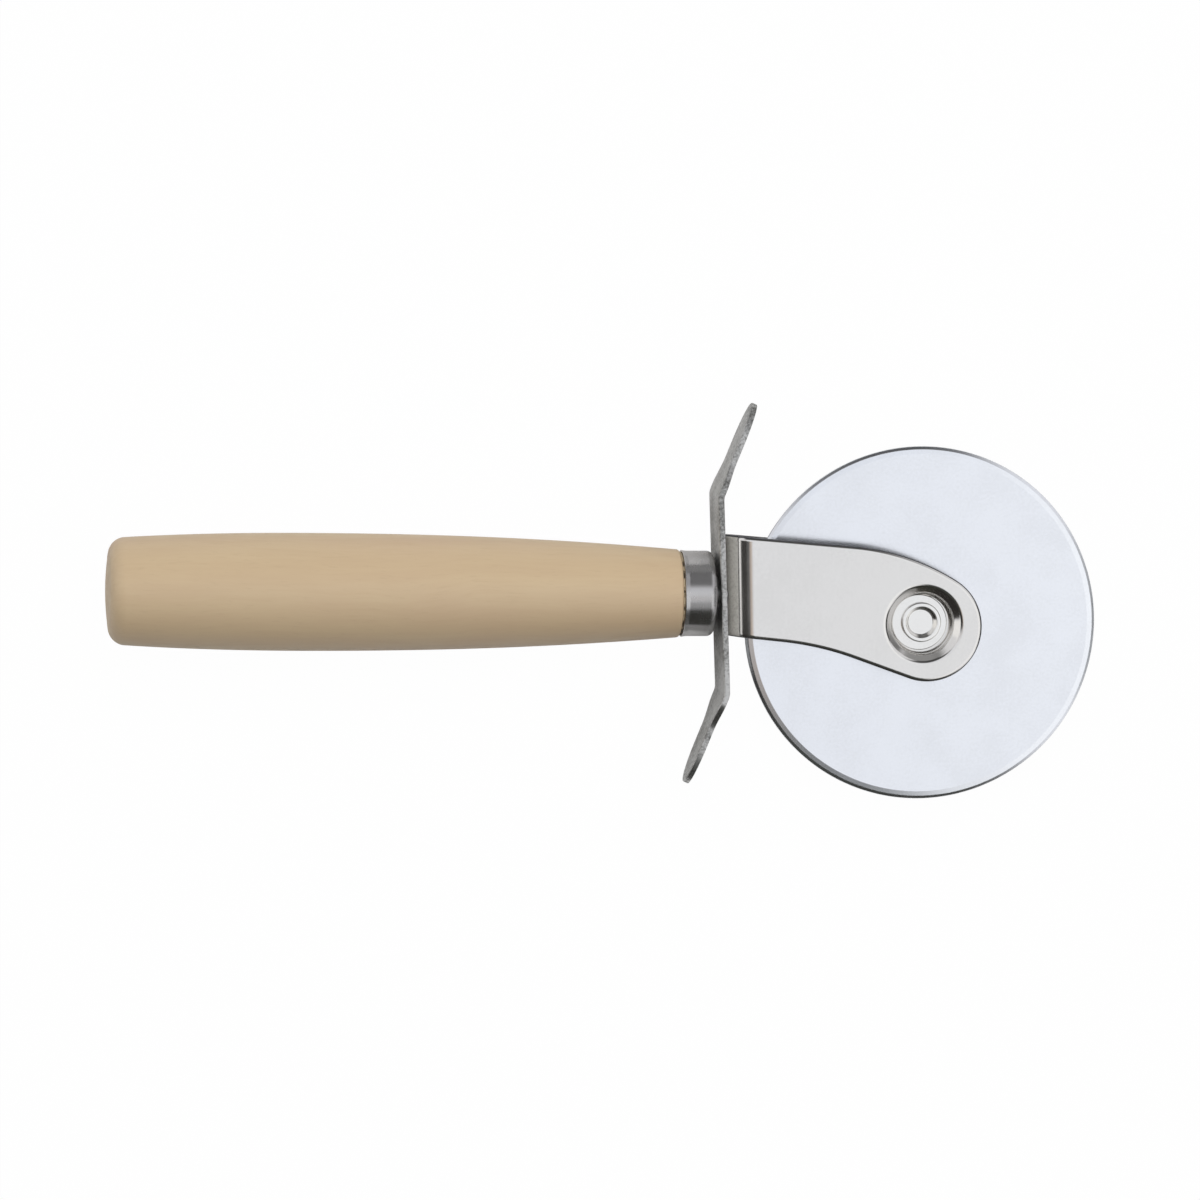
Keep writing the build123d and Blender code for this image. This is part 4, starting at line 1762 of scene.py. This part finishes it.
def report(piece: bpy.types.Object, body: Body, slot: str, *nodes: str) -> None:
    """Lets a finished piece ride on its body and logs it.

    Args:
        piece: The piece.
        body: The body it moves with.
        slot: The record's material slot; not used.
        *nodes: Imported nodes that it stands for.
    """
    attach(piece, body.value)
    if nodes:
        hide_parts(*nodes)
    count = len(piece.data.polygons)
    log.info("%s: %d faces on %s, for %s", piece.name, count, body.value, ", ".join(nodes) or "-")


@dataclass(frozen=True)
class Card:
    """A bright or dark card in the studio, as it is seen from the tool.

    Places are in a round map of all directions, where the zenith is the middle and the horizon
    is one from it, X to the right and Y up.

    Args:
        level: Its brightness and colour.
        middle: Its middle in the map.
        half: Half its width and height.
        soft: Width of its soft edge.
    """

    level: Colour
    middle: tuple[float, float]
    half: tuple[float, float]
    soft: float


@dataclass(frozen=True)
class Lamp:
    """A square soft lamp aimed at the tool.

    Args:
        name: Its name.
        place: Its place in tool coordinates, in mm.
        size: Length of its side in metres.
        power: Its power in watts.
        colour: Colour of its light.
        aim: Place along the tool at which it is aimed, in mm.
    """

    name: str
    place: tuple[float, float, float]
    size: float
    power: float
    colour: Colour
    aim: float

    def build(self, tool: ToolFrame) -> None:
        """Hangs the lamp. It lights matt surfaces, while the tent's cards are what steel mirrors.

        Args:
            tool: Where the tool lies.
        """
        data = bpy.data.lights.new(self.name, "AREA")
        data.shape = "SQUARE"
        data.size = self.size
        data.energy = self.power
        data.color = self.colour
        lamp = placed(self.name, data)
        target = tool.origin + Vector((self.aim * MM, 0, 0))
        lamp.location = tool.origin + Vector(self.place) * MM
        lamp.rotation_euler = (target - lamp.location).to_track_quat("-Z", "Y").to_euler()
        lamp.visible_glossy = False
        log.info("lamp %s", self.name)


@dataclass
class Studio:
    """White tent with dark cards, a white floor and a camera from above."""

    base: Colour = (0.80, 0.80, 0.82)
    cards: tuple[Card, ...] = (
        # The far side of the room, darker towards the lamp
        Card((0.32, 0.32, 0.32), (0.0, 1.85), (3.0, 0.55), 0.15),
        Card((0.30, 0.30, 0.30), (0.0, 0.97), (3.0, 0.40), 0.15),
        Card((0.07, 0.07, 0.07), (0.0, 0.42), (0.24, 0.21), 0.14),
        # The near side of the tool, unlit
        Card((0.035, 0.035, 0.030), (-0.70, -1.95), (1.05, 1.60), 0.06),
        Card((0.20, 0.20, 0.195), (1.10, -1.95), (0.75, 1.50), 0.10),
        # The dim right side
        Card((0.19, 0.19, 0.19), (1.70, 0.0), (1.05, 2.2), 0.15),
        Card((0.04, 0.04, 0.04), (0.62, -0.05), (0.13, 0.22), 0.05),
        # The left side, with a bright window low down and the dark near corner
        Card((0.36, 0.35, 0.34), (-1.98, 0.0), (1.05, 2.0), 0.10),
        Card((0.030, 0.028, 0.026), (-0.60, -0.80), (0.50, 0.60), 0.06),
        Card((1.0, 0.99, 0.98), (-0.70, 0.03), (0.26, 0.19), 0.05),
        # Brown stand to the left of the lamp, with its dark middle
        Card((0.56, 0.47, 0.40), (-0.12, -0.02), (0.12, 0.13), 0.08),
        Card((0.035, 0.033, 0.031), (-0.27, -0.17), (0.18, 0.18), 0.08),
        Card((0.055, 0.058, 0.052), (-0.07, -0.285), (0.17, 0.16), 0.06),
        # Main soft light over the tool, brighter to the right
        Card((0.86, 0.88, 0.92), (0.15, -0.02), (0.14, 0.15), 0.06),
        Card((0.86, 0.88, 0.92), (0.04, 0.08), (0.24, 0.10), 0.06),
        Card((1.02, 1.03, 1.04), (0.30, -0.10), (0.20, 0.19), 0.06),
    )
    lamp: Lamp = Lamp("sky_panel", (-60.0, 330.0, 620.0), 0.50, 2.3, (1.0, 0.99, 0.97), -60.0)
    least_below: float = 0.02
    floor_foot: tuple[float, float] = (0.06905, 0.0055)
    floor_gap: float = 0.00005
    floor_reach: float = 1.2
    floor_ends: tuple[float, float] = (10.0, 1.0)
    floor_colour: Colour = (0.80, 0.80, 0.80)
    floor_white: float = 0.985
    floor_gloss: float = 0.05
    camera_place: tuple[float, float, float] = (-205.8, 123.9, 1200.0)
    camera_turn: tuple[float, float, float] = (-6.00, -6.89, 0.75)
    lens: float = 199.96
    sensor: float = 36.0
    clip: tuple[float, float] = (0.05, 20.0)

    WHITE = (1.0, 1.0, 1.0, 1.0)
    FLOOR_PLACES = 400

    def build_world(self) -> None:
        """Builds the tent, seen white by the camera."""
        world = bpy.data.worlds.new("light_tent")
        bpy.context.scene.world = world
        world.use_nodes = True
        tree = world.node_tree
        tree.nodes.clear()
        desk = Desk(tree)
        way = desk.add("ShaderNodeTexCoord").outputs["Generated"]
        split = desk.add("ShaderNodeSeparateXYZ", {0: way})
        below = desk.math("MAXIMUM", desk.math("ADD", split.outputs[2], 1.0), self.least_below)
        across = desk.math("DIVIDE", split.outputs[0], below)
        upward = desk.math("DIVIDE", split.outputs[1], below)
        colour: object = self.base
        for card in self.cards:
            edges = []
            for value, middle, half in zip((across, upward), card.middle, card.half):
                off = desk.math("ABSOLUTE", desk.math("SUBTRACT", value, middle))
                edges.append(desk.ramp(off, half - card.soft / 2, half + card.soft / 2, 1.0, 0.0))
            colour = desk.mix(desk.math("MULTIPLY", *edges), colour, card.level)
        tent = desk.add("ShaderNodeBackground", {"Color": colour, "Strength": 1.0})
        white = desk.add("ShaderNodeBackground", {"Color": self.WHITE, "Strength": 1.0})
        seen = desk.add("ShaderNodeLightPath").outputs["Is Camera Ray"]
        both = desk.add("ShaderNodeMixShader", {0: seen, 1: tent.outputs[0], 2: white.outputs[0]})
        desk.add("ShaderNodeOutputWorld", {"Surface": both.outputs[0]})
        log.info("light tent with %d cards", len(self.cards))

    def build_floor(self, tool: ToolFrame, handle: Handle) -> None:
        """Builds the white floor on which the handle's side and the fork's end rest.

        Args:
            tool: Where the tool lies.
            handle: The handle that lies on it.
        """
        back_end, front_end = self.floor_ends
        along = np.linspace(handle.back + back_end, handle.front - front_end, self.FLOOR_PLACES)
        foot_x, foot_z = self.floor_foot
        low = tool.origin.z - handle.side(along) * MM
        slope = float(np.max((foot_z - low) / (foot_x - tool.origin.x - along * MM)))
        log.info("floor leans by %.4f", slope)
        reach = self.floor_reach
        rows = [
            (x, y, foot_z - slope * (foot_x - x) - self.floor_gap)
            for x, y in ((-reach, -reach), (reach, -reach), (reach, reach), (-reach, reach))
        ]
        mesh = bpy.data.meshes.new("studio_floor")
        mesh.from_pydata(rows, [], [(0, 1, 2, 3)])
        floor = placed("studio_floor", mesh)
        material = bpy.data.materials.new("white_floor")
        material.use_nodes = True
        tree = material.node_tree
        tree.nodes.clear()
        desk = Desk(tree)
        path = desk.add("ShaderNodeLightPath").outputs
        lit = desk.add("ShaderNodeBsdfDiffuse", {"Color": (*self.floor_colour, 1.0)})
        white = desk.add("ShaderNodeEmission", {"Color": self.WHITE, "Strength": 1.0})
        mirrored = desk.math("MAXIMUM", path["Is Glossy Ray"], path["Is Transmission Ray"])
        share = desk.math(
            "MAXIMUM",
            desk.math("MULTIPLY", path["Is Camera Ray"], self.floor_white),
            desk.math("MULTIPLY", mirrored, self.floor_gloss),
        )
        both = desk.add("ShaderNodeMixShader", {0: share, 1: lit.outputs[0], 2: white.outputs[0]})
        desk.add("ShaderNodeOutputMaterial", {"Surface": both.outputs[0]})
        mesh.materials.append(material)
        log.info("studio floor, white to the camera")

    def build_camera(self, tool: ToolFrame) -> None:
        """Sets the camera where the photograph was taken from.

        Args:
            tool: Where the tool lies.
        """
        data = bpy.data.cameras.new("camera")
        data.sensor_width = self.sensor
        data.lens = self.lens
        data.clip_start, data.clip_end = self.clip
        camera = placed("camera", data)
        camera.location = tool.origin + Vector(self.camera_place) * MM
        camera.rotation_euler = Euler([math.radians(a) for a in self.camera_turn], "XYZ")
        bpy.context.scene.camera = camera

    def build(self, tool: ToolFrame, handle: Handle) -> None:
        """Builds the world, the lamp, the floor and the camera.

        Args:
            tool: Where the tool lies.
            handle: The handle that lies on the floor.
        """
        bpy.context.scene.view_settings.view_transform = "Standard"
        self.build_world()
        self.lamp.build(tool)
        self.build_floor(tool, handle)
        self.build_camera(tool)


def main() -> None:
    """Builds every piece in order."""
    logging.basicConfig(level=logging.INFO, format="%(name)s: %(message)s")
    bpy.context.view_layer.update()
    tool = ToolFrame.from_nodes()
    lathe = Lathe()
    handle = Handle()
    handle.build(lathe, tool)
    Ferrule().build(lathe, tool)
    dress_tang(tool)
    FingerGuard().build(tool)
    Fork().build(tool)
    CuttingWheel().build(lathe, tool)
    AxleRivet().build(lathe, tool)
    Studio().build(tool, handle)


if __name__ == "__main__":
    main()
